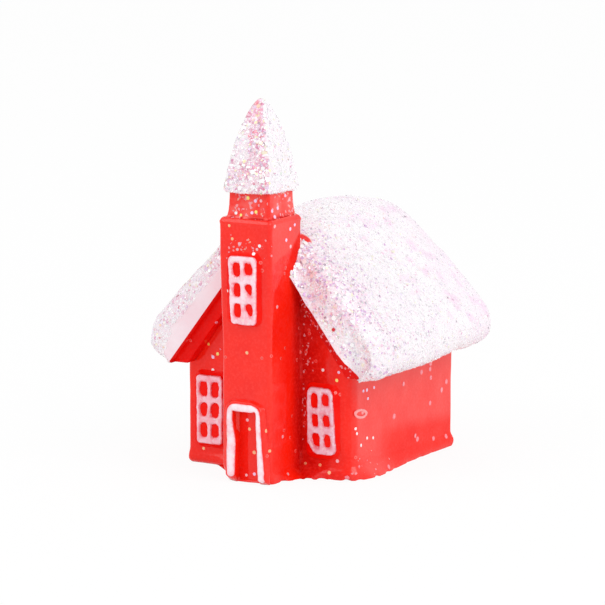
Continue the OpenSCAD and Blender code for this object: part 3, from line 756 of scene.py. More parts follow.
def makeSpireSnow():
    # Half widths follow (1 - t^1.25)^0.65 up the height, and the hem hangs in a shallow wave round the belfry. Gives
    # the grid, how rosy it is (pink glitter and painted light: pink on the front, white on the right faces that the
    # light falls full on), how densely flakes lie on it (fewer on the left and front of the tip) and the piece.
    base = spireLow[2] + spire["hem"]
    t = np.linspace(0, 1, spire["rows"]) ** 0.9
    share = (1 - (t * spire["tipShare"]) ** spire["bulgePower"]) ** spire["bluntPower"]
    z = base + (spireHigh[2] - 0.03 - base) * t
    hem = np.linspace(1, 0, 7)[:-1]
    share = np.concatenate([1 - 0.045 * hem ** 2, share])
    z = np.concatenate([base - spire["hem"] * hem, z])
    half = (spireHigh[:2] - spireLow[:2]) / 2
    x, y = roundRing(towerX - half[0] * share, towerX + half[0] * share, towerMidY - half[1] * share,
                     towerMidY + half[1] * share, [spire["cornerR"] * share] * 4, [36, 38], 7)
    rows = stackUp(x, y, z)
    rough = snowRoughness(rows, spire, spire["hillsIn"])
    n = outwards(rows)
    rows = rows + n * (rough * smooth(share[:, None], 0.0, 0.4))[..., None]
    low = smooth(base + 0.8 - rows[..., 2], 0, 1.0)
    corner = np.abs(rows[..., 0] - towerX) / half[0] * np.abs(rows[..., 1] - towerMidY) / half[1]
    rows[..., 2] += low * (spire["hemWave"] * lumps(rows * [1, 1, 0], 1.1, spire["seed"] + 3)
                           + 0.4 * smooth(corner, 0.78, 1.0))
    inner = rows[0].copy()
    inner[:, :2] = [towerX, towerMidY] + (inner[:, :2] - [towerX, towerMidY]) * spire["hemIn"]
    inner[:, 2] += 0.06
    rows = np.concatenate([inner[None], rows])
    n = np.concatenate([n[:1], n])
    width = half[0] * np.concatenate([share[:1], share])[:, None]
    tip = smooth(rows[..., 2], spireHigh[2] - 3.4, spireHigh[2] - 0.6)
    seam = hump(rows[..., 0] - towerX, 0.62 * width, 0.42 * width + 0.2)
    front = smooth(-n[..., 1], 0.3, 0.8)
    drift = smooth(lumps(rows, 1.0, 48) + 0.7 * lumps(rows, 0.42, 49), -0.35, 0.5)
    leftSide = 1 - smooth(rows[..., 0] - towerX, -0.75 * width, -0.1 * width)
    leftSide = leftSide * smooth(rows[..., 2], base + 1, base + 3)
    # painted light: the front faces turn pink and the right faces, on which the light falls full, stay white; the tip's
    # left and front turn pink too
    rosyAndShade = 0.03 + front * (0.34 + 0.65 * seam + 0.42 * drift) * (1 - 0.6 * leftSide * (1 - tip))
    rosyAndShade = rosyAndShade + 0.8 * tip * smooth(-n[..., 0], -0.6, 0.2)
    rosyAndShade = np.clip(rosyAndShade * (0.4 + 0.75 * drift), 0, 1)
    rosyAndShade = np.maximum(rosyAndShade, 0.85 * smooth(tip, 0.3, 0.9) * smooth(-n[..., 0], -0.4, 0.1) * (0.7 + 0.3 * drift))
    bare = 0.5 * tip * smooth(lumps(rows, 0.5, 47), 0.2, 0.6) * smooth(-n[..., 0], -0.6, 0.2)
    piece = ringSkin("spireSnow", rows, np.array([towerX, towerMidY, base + 0.4]), None, {"bare": bare, "rosyAndShade": rosyAndShade})
    cover = 1 - spire["tipBare"] * smooth(tip, 0.2, 0.9) * smooth(-n[..., 0], -0.4, 0.1)
    return rows, rosyAndShade, cover, piece


spireRows, spireRosyAndShade, spireCover, spirePiece = makeSpireSnow()
dress(spirePiece, snowGlaze, "snow", "spire_snow")
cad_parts["spire_core"].data.materials.clear()
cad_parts["spire_core"].data.materials.append(redGlaze)
print("spire: done")

# Snow on the roof

snowLow, snowHigh = nodeBox("roof_snow")
# splash is the photograph's pixel where red glaze lies on the snow, with its cosine and sine of slant in splashTurn.
# The last rows shape the front end: at each x, how far its foot and its top stand back, and how far its foot lifts.
snow = dict(ease=5.0, overRidge=1.8, ridgeR=6.2, ridgeRFront=8.0, ridgeRBack=9.6, crestShare=0.56, shoulderR=4.0,
            lipR=2.1, endRound=3.1, backRound=1.9, endThin=1.4, skin=0.12, hills=0.12, hillSize=4.2, hillsIn=0.35,
            bumps=0.07, bumpSize=1.3, grit=0.04, gritSize=0.5, sink=0.3, plainShare=0.58, splash=(304.5, 238.6),
            splashSize=(8.0, 3.4), splashTurn=(0.85, 0.52), dip=1.2, seed=51,
            footX=(0, 3.4, 3.9, 4.6, 6, 9, 10, 10.8, 12.4), footBack=(0, -0.25, 0.0, 0.5, 0.75, 0.65, 0.75, 1.9, 2.2),
            topX=(-2, 1.5, 4.8, 6, 8, 10), topBack=(0, 1.5, 1.5, 1.3, 1.1, 0.9),
            liftX=(3.3, 3.8, 4.5, 5.2, 9, 10.3, 10.9, 11.6, 12.2), lift=(0.0, 0.9, 0.35, 0, 0, 0.3, 0.5, 0.1, 0.0))
snowBack = snowHigh[1] - snow["skin"]
snowPitch = np.radians(walls["pitch"] - snow["ease"])
snowHalf = snowHigh[0] - snow["skin"]
deckPeak = walls["eaves"] + roofSlope * deckHigh[0]
snowPeak = deckPeak + snow["overRidge"] + snow["ridgeR"] * (1 / np.cos(snowPitch) - 1)


def ridgeRadius(y):
    # fullest at the crest, growing flatter by a square law towards both ends
    crest = snowLow[1] + snow["crestShare"] * (snowHigh[1] - snowLow[1])
    s = np.where(y < crest, (crest - y) / (crest - snowLow[1]), (y - crest) / (snowHigh[1] - crest))
    end = np.where(y < crest, snow["ridgeRFront"], snow["ridgeRBack"])
    return snow["ridgeR"] + (end - snow["ridgeR"]) * s * s


def snowOutline(y, thin):
    # half outline from ridge to lip: ridge arc, straight slope, shoulder arc, lip arc and the way in under the eave.
    # y and thin are rows; the answer has a column for each point of the outline
    r = ridgeRadius(y)[None, :]
    thin = thin[None, :]
    turn = np.pi / 2 - snowPitch
    edgeZ = snowPeak - snowHalf * np.tan(snowPitch)
    shoulderZ = edgeZ - snow["shoulderR"] * np.tan(turn / 2)
    a = np.linspace(np.pi / 2, turn, 26)[:, None]
    ridge = np.stack([(r - thin) * np.cos(a), snowPeak - r / np.cos(snowPitch) + (r - thin) * np.sin(a)], -1)
    a = np.linspace(turn, 0, 14)[:, None]
    shoulder = np.stack([snowHalf - snow["shoulderR"] + (snow["shoulderR"] - thin) * np.cos(a),
                         shoulderZ + (snow["shoulderR"] - thin) * np.sin(a)], -1)
    a = np.linspace(0, -np.pi / 2, 16)[:, None]
    lip = np.stack([snowHalf - snow["lipR"] + (snow["lipR"] - thin) * np.cos(a),
                    walls["eaves"] + snow["lipR"] + (snow["lipR"] - thin) * np.sin(a)], -1)
    s = np.linspace(0, 1, 56)[1:-1, None, None]
    slope = ridge[-1] * (1 - s) + shoulder[0] * s
    s = np.linspace(0, 1, 6)[1:, None, None]
    home = np.array([deckHigh[0] - 0.05, walls["eaves"]])
    under = lip[-1] * (1 - s) + home * s
    return np.concatenate([ridge, slope, shoulder, lip, under])


def snowSection():
    # the section's outline from front to back: up the front face, over the top and down the back face, then home
    # along the deck. share is 0 on the deck and 1 on the outside
    roll = np.linspace(0, np.pi / 2, 10)
    rise = np.concatenate([[0, 0.01], np.linspace(0, 1, 20)[1:]])
    length = np.linspace(snowLow[1] + snow["endRound"], snowBack - snow["backRound"], 96)[1:-1]
    frontEnd, backEnd = snow["endRound"] * (1 - np.cos(roll)), snow["backRound"] * (1 - np.cos(roll))
    thinEnd = snow["endThin"] * (1 - np.sin(roll))
    face = np.ones(len(rise) - 1)
    y = np.concatenate([snowLow[1] * face, snowLow[1] + frontEnd, length, (snowBack - backEnd)[::-1],
                        snowBack * face, np.linspace(snowBack, snowLow[1], 12)[1:-1]])
    thin = np.concatenate([snow["endThin"] * face, thinEnd, np.zeros(len(length)), thinEnd[::-1],
                           snow["endThin"] * face, np.full(10, snow["endThin"])])
    share = np.concatenate([rise[:-1], np.ones(10 + len(length) + 10), rise[::-1][1:], np.zeros(10)])
    return y, thin, share


def shapeEnds(rows, share):
    # On the right of the tower the front end stands back: flush with the deck along the rake, and well back at the
    # top beside the tower. On the left the front rolls over sooner. The ridge dips behind the tower and at the back.
    x = rows[..., 0]
    foot = np.interp(x, snow["footX"], snow["footBack"])
    top = np.interp(x, snow["topX"], snow["topBack"])
    roll = 0.15 * np.clip((share - snow["plainShare"]) / (1 - snow["plainShare"]), 0, 1) ** 2 * (x < 0)
    near = 1 - smooth(rows[..., 1], snowLow[1], snowLow[1] + 5.0)
    rows[..., 1] += (foot + (top - foot) * share + roll) * near
    lift = np.interp(x, snow["liftX"], snow["lift"])
    rows[..., 2] += lift * np.clip(1 - share / 0.35, 0, 1) * (1 - smooth(rows[..., 1], -12.6, -11.3))
    low = 1 - smooth(rows[..., 2], 12, 14)
    rows[..., 2] -= 0.3 * smooth(x, 10.9, 11.5) * (1 - smooth(rows[..., 1], -11.6, -9.0)) * low
    under = hump(x, 10.9, 0.5) * (1 - smooth(rows[..., 2], 11.05, 11.8)) * smooth(share, 0.4, 0.9)
    rows[..., 1] += 0.8 * near * under
    dip = smooth(-rows[..., 1], -1.5, 8.5) * (1 - smooth(np.abs(x), 4, 9))
    dent = np.exp(-((rows[..., 1] - snowHigh[1]) / 3.0) ** 2 - ((x - 6.0) / 2.4) ** 2)
    rows[..., 2] -= (snow["dip"] * dip * (0.3 + 0.7 * smooth(x, -3, 0)) + 0.85 * dent) * share
    rows[..., 2] += 0.42 * smooth(rows[..., 1], -2, 9) * smooth(x, 10.5, 12.5) * (1 - smooth(rows[..., 2], 13, 16))
    return rows


def splashMask(rows):
    # 1 inside a slanting ellipse in the photograph's pixels, on the snow beside the tower
    px, py = photoPixels(rows)
    across, down = px - snow["splash"][0], py - snow["splash"][1]
    c, s = snow["splashTurn"]
    ahead = across * c + down * s
    aside = down * c - across * s
    far = (ahead / snow["splashSize"][0]) ** 2 + (aside / snow["splashSize"][1]) ** 2
    return (1 - smooth(far, 0.6, 1.3)) * (rows[..., 0] > 0) * (rows[..., 2] > 16)


def makeRoofSnow():
    # The outline from lip to lip at every place along the section, blended from the deck (share 0) to the outside
    # (share 1). Gives the grid, its shares, where no flakes lie, how rosy it is (pink glitter and painted light: pinker
    # at the front end and on faces turned to the front) and the piece.
    y, thin, share = snowSection()
    outer = snowOutline(y, thin)
    count = len(outer)
    half = deckHigh[0] - snow["sink"]
    g = np.clip(np.linspace(0, 1.32, count), 0, 1)
    innerX = g * half
    innerZ = np.interp(innerX, [0, deck["ridgeFlat"] / 2, half],
                       [deckHigh[2] - snow["sink"], deckHigh[2] - snow["sink"], walls["eaves"] + 0.15])
    inner = np.stack([innerX, innerZ], -1)[:, None, :]
    inner[-1] = [half - 0.2, walls["eaves"]]
    sheet = inner + (outer - inner) * share[None, :, None]
    right = np.stack([sheet[..., 0], np.broadcast_to(y, sheet.shape[:2]), sheet[..., 1]], -1)
    left = right[::-1][:-1] * [-1, 1, 1]
    rows = np.concatenate([left, right])
    shares = np.broadcast_to(share, rows.shape[:2])
    rows = shapeEnds(rows, shares)
    n = outwards(rows)
    edge = shares + 0.05 * lumps(rows, 1.1, snow["seed"] + 5)
    border = snow["plainShare"] - 0.22 * (1 - smooth(rows[..., 2], 12.0, 15.0))
    leftPlain = 1 - smooth(edge, border - 0.03, border + 0.03)
    rightPlain = 0.45 * (1 - smooth(edge, 0.08, 0.2)) * smooth(rows[..., 0], 7, 9)
    plain = np.where(rows[..., 0] < towerX, leftPlain, rightPlain)
    rough = snowRoughness(rows, snow, snow["hillsIn"])
    rows = rows + n * (rough * smooth(shares, 0.05, 0.6) * (1 - 0.75 * plain))[..., None]
    front = smooth(-n[..., 1], 0.3, 0.8) * (1 - plain)
    splash = splashMask(rows)
    bare = np.maximum(1.0 * (shares < 0.005) * (rows[..., 0] < towerX), splash)
    drift = smooth(lumps(rows, 1.0, snow["seed"] + 8) + 0.6 * lumps(rows, 0.45, snow["seed"] + 9), -0.3, 0.5)
    mist = (0.04 + 0.8 * smooth(rows[..., 1], -6, 5)) * smooth(lumps(rows, 1.25, snow["seed"] + 7), 0.05, 0.6)
    mist = np.maximum(mist, 0.34 * smooth(rows[..., 1], 5.5, 11.5))
    nearFront = 1 - smooth(rows[..., 1], snowLow[1] + 1, snowLow[1] + 10)
    high = smooth(rows[..., 2], 13, 20)
    # painted light: the snow turns pinker towards its front end and on faces turned to the front, more so high up,
    # while faces that the light falls full on stay white; mist takes some of it too
    rosyAndShade = 0.03 + (0.15 + 0.37 * high) * nearFront + np.where(rows[..., 0] > 0, 0.08 + 0.3 * high, 0.05) * front
    rosyAndShade = np.clip(rosyAndShade * (0.4 + 0.9 * drift), 0, 1)
    piece = ringSkin("roofSnow", rows, None, None,
                     {"plain": plain, "rosyAndShade": 0.33 * rosyAndShade, "bare": bare, "mist": np.clip(mist + 0.4 * rosyAndShade, 0, 1)})
    band = hump(rows[..., 1] - snowLow[1], 2.6, 1.7) * smooth(rows[..., 2], 11, 14) * (rows[..., 0] > 4)
    return rows, shares, np.maximum(plain, splash), np.clip(rosyAndShade + 0.5 * band * drift, 0, 1), piece


snowRows, snowShare, snowPlain, snowRosyAndShade, snowPiece = makeRoofSnow()
dress(snowPiece, snowGlaze, "snow", "roof_snow")
print("roof snow: done")

# Window blocks and lattices

window = dict(out=0.55, spread=0.65, cornerR=0.5, frame=0.5, middle=0.45, cross=0.7, end=0.75, trim=0.2, sink=0.05,
              columns=2, rows=3, edge=0.16, panePower=3.0, paneEdge=0.6, ringSteps=24)


def onWall(across, up, out, y):
    # a flat drawing stood up on a wall that faces the front
    return np.stack([across, y - out, up], -1)


def makeWindowBlock(name, node, seed):
    # sides slope in by a power law from the wall to the face, and the face closes in rings to its middle
    low, high = nodeBox(node)
    y = high[1]
    h = np.linspace(0, 1, 14)
    grow = window["spread"] * (1 - h) ** 1.6
    bevel = np.linspace(0, np.pi / 2, 6)[1:]
    inset = np.concatenate([-grow, 0.1 * (1 - np.cos(bevel)), [0.35, 0.7, 1.1, 1.5]])
    out = np.concatenate([-0.1 + (window["out"] + 0.02) * h, window["out"] - 0.08 + 0.08 * np.sin(bevel),
                          np.full(4, window["out"])])
    x0, x1 = low[0] + window["spread"], high[0] - window["spread"]
    z0, z1 = low[2] + window["spread"], high[2] - window["spread"]
    r = np.maximum(window["cornerR"] - inset, 0.02)
    x, z = roundRing(x0 + inset, x1 - inset, z0 + inset, z1 - inset, [r] * 4, [24, 44], 6)
    rows = onWall(x, z, np.broadcast_to(out[:, None], x.shape), y)
    rows = swell(rows, 0.025 * lumps(rows, 1.2, seed) + 0.01 * lumps(rows, 0.5, seed + 1))
    return ringSkin(name, rows)


def roundedGap(across, up, w, h, r):
    # distance inside the outline of the lattice, a rectangle with round corners
    qx = np.abs(across - w / 2) - (w / 2 - r)
    qz = np.abs(up - h / 2) - (h / 2 - r)
    return r - np.hypot(np.maximum(qx, 0), np.maximum(qz, 0)) - np.minimum(np.maximum(qx, qz), 0)


def flatLumps(across, up, size, seed):
    # lumps over a flat drawing
    return lumps(np.stack([across, 0 * across, up], -1), size, seed)


def makeLattice(name, node, seed, panes, fit, worn, cornerR):
    # Every pane has a cell whose points run round its edge and out to the middle of the bars. The bars' height over
    # the block is a half round of the distance to the pane's and the lattice's edges. panes tells how each pane
    # departs from its drawn shape: shift across, shift up, width share, height share, paint fill and its angle. fit
    # moves the left edge (at its top, at its foot), the right edge and the two ends; worn names the legs of the low
    # left corner whose paint is gone.
    low, high = nodeBox(node)
    w, h = high[0] - low[0], high[2] - low[2]
    paneW = (w - 2 * window["frame"] - (window["columns"] - 1) * window["middle"]) / window["columns"]
    paneH = (h - 2 * window["end"] - (window["rows"] - 1) * window["cross"]) / window["rows"]
    s = np.arange(window["ringSteps"]) / window["ringSteps"]
    zero, one = np.zeros(len(s)), np.ones(len(s))
    ringX = np.concatenate([s, one, 1 - s, zero])
    ringZ = np.concatenate([zero, s, one, 1 - s])
    go = np.concatenate([np.linspace(1, 0, 13), np.linspace(0, 1, 4)[1:]])
    isBack = np.arange(len(go)) > 12  # the last rings go back to the pane's edge under the bars
    m = len(ringX)
    points, covers, faces = [], [], []
    pitchX, pitchZ = paneW + window["middle"], paneH + window["cross"]
    for i in range(window["columns"]):
        for j in range(window["rows"]):
            left = 0 if i == 0 else window["frame"] + i * pitchX - window["middle"] / 2
            right = w if i == window["columns"] - 1 else window["frame"] + (i + 1) * pitchX - window["middle"] / 2
            down = 0 if j == 0 else window["end"] + j * pitchZ - window["cross"] / 2
            up = h if j == window["rows"] - 1 else window["end"] + (j + 1) * pitchZ - window["cross"] / 2
            edge = np.stack([left + (right - left) * ringX, down + (up - down) * ringZ], -1)
            core = np.clip(edge, cornerR, [w - cornerR, h - cornerR])
            off = edge - core
            far = np.linalg.norm(off, axis=-1, keepdims=True)
            edge = np.where(far > cornerR, core + off / np.maximum(far, 1e-9) * cornerR, edge)
            shape = panes[i * window["rows"] + j]
            middle = np.array([window["frame"] + i * pitchX + paneW / 2 + shape[0],
                               window["end"] + j * pitchZ + paneH / 2 + shape[1]])
            ray = edge - middle
            length = np.linalg.norm(ray, axis=-1)
            c, d = ray[:, 0] / length, ray[:, 1] / length
            power = window["panePower"]
            reach = ((np.abs(c) / (paneW / 2 * shape[2])) ** power
                     + (np.abs(d) / (paneH / 2 * shape[3])) ** power) ** (-1 / power)
            reach *= 1 - shape[4] * np.clip(np.cos(np.arctan2(d, c) - np.radians(shape[5])), 0, 1) ** 2
            around = np.stack([c * 2 + 7 * i, d * 2 + 7 * j, 0 * c], -1)  # each pane has its own part of the lumps
            wobble, nicks = lumps(around, 0.8, seed), lumps(around, 0.28, seed + 7)
            reach = np.minimum(reach * (1 + 0.07 * wobble + 0.05 * nicks), length - 0.12)
            rim = middle + np.stack([c, d], -1) * reach[:, None]
            spot = rim[None] + (edge - rim)[None] * go[:, None, None]
            outerGap = roundedGap(spot[..., 0], spot[..., 1], w, h, cornerR)
            outerGap = outerGap - 0.06 * np.clip(flatLumps(spot[..., 0], spot[..., 1], 0.3, seed + 8), 0, 1)
            roundPane = quarterRound(go[:, None] / window["paneEdge"])
            out = np.where(isBack[:, None], 0, quarterRound(outerGap / window["edge"]) * roundPane)
            cut = 1 - spot[..., 0] / worn[0] - spot[..., 1] / worn[1]
            cut = cut + 0.16 * flatLumps(spot[..., 0], spot[..., 1], 0.35, seed + 4)
            out = out * (1 - smooth(cut, 0.0, 0.16))
            a, b = spot[..., 0] / w, spot[..., 1] / h
            across = (low[0] + spot[..., 0] + (1 - a) * (fit[0] * b + fit[1] * (1 - b))
                      + a * (fit[2] * b + fit[3] * (1 - b)))
            above = low[2] + spot[..., 1] + fit[4] * b + fit[5] * (1 - b)
            base = len(points) * m * len(go)
            points.append(onWall(across, above, -window["sink"] + (window["trim"] + window["sink"]) * out,
                                 high[1]).reshape(-1, 3))
            covers.append((out * np.clip(0.35 + 0.65 * go[:, None] / 0.5, 0, 1)).ravel())
            for start in range(base, base + (len(go) - 1) * m, m):
                faces += [[start + q, start + (q + 1) % m, start + m + (q + 1) % m, start + m + q] for q in range(m)]
    points, covers = np.concatenate(points), np.concatenate(covers)
    drift = lumps(points, 0.9, seed + 3)
    points[:, 0] += 0.035 * lumps(points, 0.7, seed + 1) + 0.03 * lumps(points, 0.28, seed + 5)
    points[:, 2] += 0.035 * lumps(points, 0.7, seed + 2) + 0.03 * lumps(points, 0.28, seed + 6)
    points[:, 1] += 0.025 * drift * covers
    piece = addMesh(name, points, turnOutwards(points, faces), {"cover": covers * (0.8 + 0.25 * drift)})
    weld(piece, 0.004)
    return piece


towerPanes = [(-0.02, 0.02, 0.95, 1.02, 0, 0), (0, 0.02, 0.9, 0.95, 0.0, 0), (0, 0.06, 0.95, 1.05, 0, 0),
              (0.05, 0.08, 0.98, 0.98, 0.5, 235), (0.02, 0.1, 0.9, 0.85, 0.55, 235), (0, 0.08, 1.0, 1.0, 0.3, 260)]
rightPanes = [(0.1, 0.08, 1.0, 1.0, 0.25, 225), (0, 0, 0.85, 1.0, 0.1, 240), (0, 0, 0.9, 1.08, 0.0, 0),
              (0.02, 0.05, 0.75, 0.98, 0.1, 300), (0, 0.0, 0.85, 1.0, 0.2, 260), (0, 0.05, 0.95, 1.05, 0.35, 265)]
leftPanes = [(-0.02, 0, 0.95, 1.0, 0, 0), (-0.02, 0, 0.9, 0.95, 0, 0), (-0.04, 0, 1.0, 1, 0, 0),
             (0, 0, 1.0, 0.9, 0, 0), (0, 0, 1.05, 1, 0, 0), (0, 0, 1.0, 1.05, 0, 0)]
lattices = dict(
    tower=dict(seed=61, panes=towerPanes, fit=(-0.03, 0.33, 0.15, 0.15, 0.08, -0.27), worn=(0.3, 0.3), cornerR=0.5),
    right=dict(seed=71, panes=rightPanes, fit=(0.0, 0.08, -0.2, 0.33, 0.15, 0.0), worn=(1.15, 1.25), cornerR=0.75),
    left=dict(seed=81, panes=leftPanes, fit=(0.0, 0.05, 0.0, 0.0, 0.0, 0.0), worn=(0.2, 0.2), cornerR=0.45))
paints = dict(tower=towerPaint, right=rightShadedPaint, left=leftPaint)
blockPieces = []
for place, shape in lattices.items():
    block = makeWindowBlock(place + "WindowBlock", place + "_window_block", shape["seed"])
    blockPieces.append(dress(block, blockGlaze, "red_glaze", place + "_window_block"))
    lattice = makeLattice(place + "Lattice", place + "_lattice", **shape)
    dress(lattice, paints[place], "white_trim", place + "_lattice")
print("windows: done")

# Doorway

# At the heights leftZ the left jamb is leftWide wide and bows by bow; at rightZ the right one is rightWide wide
doorBead = dict(height=0.19, sink=0.06, step=0.1, bend=0.5, leftIn=0.08, footZ=0.25, leftZ=(0.6, 2.0, 4.5, 6.4),
                leftWide=(0.82, 0.95, 1.04, 0.66), bow=(0.0, 0.04, 0.08, -0.1), rightZ=(0.25, 1.5, 5.0, 7.2),
                rightWide=(0.72, 0.70, 0.58, 0.46), headWide=0.8, seed=91)


def doorPath():
    # up the left jamb, round a bend, across the head, round a bend and down the right jamb, in x and z
    top = door["top"] - door["head"] / 2
    leftX = door["left"] + door["leftJamb"] / 2 - doorBead["leftIn"]
    rightX = door["left"] + door["width"] - door["rightJamb"] / 2
    bend = doorBead["bend"]
    quarter = np.linspace(0, np.pi / 2, 9)
    corners = [np.array([[leftX, door["foot"]]]),
               np.stack([leftX + bend - bend * np.cos(quarter), top - bend + bend * np.sin(quarter)], -1),
               np.stack([rightX - bend + bend * np.sin(quarter), top - bend + bend * np.cos(quarter)], -1),
               np.array([[doorSide(doorBead["footZ"], rightX), doorBead["footZ"]]])]
    line = np.concatenate(corners)
    run = np.concatenate([[0], np.cumsum(np.linalg.norm(np.diff(line, axis=0), axis=1))])
    s = np.linspace(0, run[-1], int(run[-1] / doorBead["step"]))
    spots = np.stack([np.interp(s, run, line[:, 0]), np.interp(s, run, line[:, 1])], -1)
    spots[:, 0] += np.interp(spots[:, 1], doorBead["leftZ"], doorBead["bow"]) * (s < 0.42 * run[-1])
    ahead = np.gradient(spots, axis=0)
    ahead /= np.linalg.norm(ahead, axis=1, keepdims=True)
    left = np.stack([-ahead[:, 1], ahead[:, 0]], -1)
    return spots, left, s / run[-1]


def jambWidth(share, spots):
    # the left jamb swells in its middle, the head is even, and the right jamb widens towards its foot
    z = spots[:, 1]
    leftSide = np.interp(z, doorBead["leftZ"], doorBead["leftWide"])
    rightSide = np.interp(z, doorBead["rightZ"], doorBead["rightWide"])
    across = smooth(share, 0.40, 0.44) * (1 - smooth(share, 0.53, 0.57))
    side = np.where(share < 0.48, leftSide, rightSide)
    return side * (1 - across) + doorBead["headWide"] * across


def onDoorBlock(x, z, out):
    # a drawing on the raised block round the door: the block sinks away at the ground and follows the tower's foot
    rise = 0.25 + 0.75 * smooth(z, 0, 0.7)
    depth = np.where(out > 0, np.minimum(out, window["out"]) * rise + np.maximum(out - window["out"], 0), out)
    return np.stack([x, towerFront - depth + frontSag(x, z), z], -1)


def makeSurround():
    # a half-round bead of paint carried along the door's path, with rounded feet and a wavering width
    spots, left, share = doorPath()
    width = jambWidth(share, spots) / 2
    run = share * (len(share) - 1) * doorBead["step"]
    end = np.minimum(run, run[-1] - run)
    taper = quarterRound(end / 0.35, 0.02)
    wave = lumps(np.stack([run, 0 * run, 0 * run], -1), 0.9, doorBead["seed"])
    turn = np.linspace(0, 2 * np.pi, 28, endpoint=False)
    side, rise = np.cos(turn), np.sin(turn)
    out = np.where(rise > 0, doorBead["height"] * np.abs(rise) ** 0.7, -doorBead["sink"] * np.abs(rise) ** 0.3)
    half = (width * taper * (1 + 0.08 * wave))[:, None]
    x = spots[:, :1] + left[:, :1] * side * half
    z = spots[:, 1:] + left[:, 1:] * side * half
    x = x + left[:, :1] * side * 0.05 * lumps(np.stack([x, z, 0 * x], -1), 0.45, doorBead["seed"] + 1)
    lift = np.broadcast_to(out, x.shape) * np.where(out > 0, np.sqrt(taper)[:, None], 1)
    rows = onDoorBlock(x, z, window["out"] + lift)
    cover = np.clip(out / doorBead["height"], 0, 1) * (1 - (0.16 + 0.12 * wave)[:, None] * (share < 0.42)[:, None])
    return ringSkin("doorSurround", rows, None, None, {"cover": cover})


def makeDoorBlock():
    # the raised block's section carried along the same path: it slopes out of the tower in an even S on the outside
    # and drops straight into the pocket on the inside. Each entry: share of the half width, extra reach, distance out
    spots, left, share = doorPath()
    spots = spots.copy()
    spots[0, 1] = spots[-1, 1] = 0.02
    width = jambWidth(share, spots) / 2
    over, drop, near = window["out"], door["pocket"], door["margin"] - 0.08
    slope = np.linspace(0, 1, 8)
    section = [(1, near + door["outside"] * (1 - s), -0.06 + (over + 0.06) * smooth(s, 0, 1)) for s in slope]
    section += [(0.5, 0, over), (-0.5, 0, over), (-1, 0.0, over), (-1, -0.05, over - 0.06), (-1, -0.05, 0.1),
                (-1, -0.05, -drop + 0.1), (-1, -0.05, -drop - 0.05), (0, 0, -drop - 0.05)]
    rows = np.empty((len(spots), len(section), 3))
    for k, (side, extra, out) in enumerate(section):
        reach = side * width + extra
        x = np.clip(spots[:, 0] + left[:, 0] * reach, towerLow[0] + 0.1, towerHigh[0] - 0.1)
        z = np.maximum(spots[:, 1] + left[:, 1] * reach, 0.02)
        rows[:, k] = onDoorBlock(x, z, np.full(len(spots), out))
    return ringSkin("doorBlock", rows)


def makeDoorLeaf():
    # a flat board with soft edges and a faint bow, standing on the back of its pocket
    z = 0.02 + (door["top"] - door["head"] + 0.05) * np.linspace(0, 1, 40)
    left = door["left"] + door["leftJamb"] - 0.1
    right = doorSide(z, door["left"] + door["width"] - door["rightJamb"]) + 0.1
    back = np.full(len(z), towerFront + door["pocket"] + 0.15)
    face = np.full(len(z), towerFront + door["pocket"] - door["leaf"])
    x, y = roundRing(left, right, face, back, [np.full(len(z), 0.05)] * 4, [40, 6], 3)
    rows = stackUp(x, y, z)
    rows[..., 1] += 0.02 * lumps(rows, 1.3, 95)
    matt = 1 - smooth(rows[..., 0] + 0.05 * lumps(rows, 0.8, 96), left + 1.1, left + 1.2)
    return ringSkin("doorLeaf", rows, None, None, {"dull": matt})


doorBlockPiece = dress(makeDoorBlock(), redGlaze, "red_glaze", "door_frame")
leafPiece = dress(makeDoorLeaf(), doorGlaze, "deep_red_glaze", "door_leaf")
dress(makeSurround(), doorPaint, "white_trim", "door_surround")
print("doorway: done")

# Flakes

# Each palette lists a colour and how often it is drawn: bright for most of the snow, rosy for the spire and the left
# slope, dusk for the right one. The tilts are the spread of the flakes' lean.
flake = dict(thick=0.016, roofCount=11500, roofSize=0.155, spireCount=3400, spireSize=0.18, strayCount=70,
             leftTilt=0.11, rightTilt=0.2, spireTilt=0.2, wallTilt=0.04, wallSize=(0.34, 0.44), straySize=(0.34, 0.5),
             sizeRange=(0.11, 0.5), seed=101)
brightTints = [((0.95, 0.94, 0.955), 80), ((0.95, 0.84, 0.92), 7), ((0.86, 0.78, 0.93), 4), ((0.93, 0.66, 0.80), 2),
               ((0.66, 0.60, 0.67), 1), ((0.93, 0.92, 0.72), 2), ((0.88, 0.62, 0.56), 0.5), ((0.76, 0.42, 0.62), 0.6)]
rosyTints = [((0.97, 0.95, 0.96), 30), ((0.95, 0.78, 0.84), 20), ((0.88, 0.55, 0.66), 14), ((0.76, 0.32, 0.50), 5),
             ((0.82, 0.66, 0.86), 5), ((0.97, 0.92, 0.55), 4), ((0.95, 0.68, 0.50), 3), ((0.80, 0.28, 0.36), 4),
             ((0.58, 0.46, 0.53), 3), ((0.76, 0.86, 0.76), 2), ((0.97, 0.93, 0.84), 7)]
duskTints = [((0.95, 0.94, 0.96), 34), ((0.88, 0.78, 0.92), 16), ((0.68, 0.42, 0.70), 13), ((0.66, 0.62, 0.68), 8),
             ((0.90, 0.66, 0.78), 12), ((0.93, 0.90, 0.70), 3), ((0.78, 0.86, 0.80), 3), ((0.48, 0.36, 0.46), 4)]


def pickTints(rng, count, tints):
    # random colours of a palette, each a little lighter or darker
    colours = np.array([t[0] for t in tints])
    odds = np.array([t[1] for t in tints], float)
    chosen = colours[rng.choice(len(tints), count, p=odds / odds.sum())]
    return np.clip(chosen * rng.uniform(0.93, 1.03, (count, 1)), 0, 0.98)


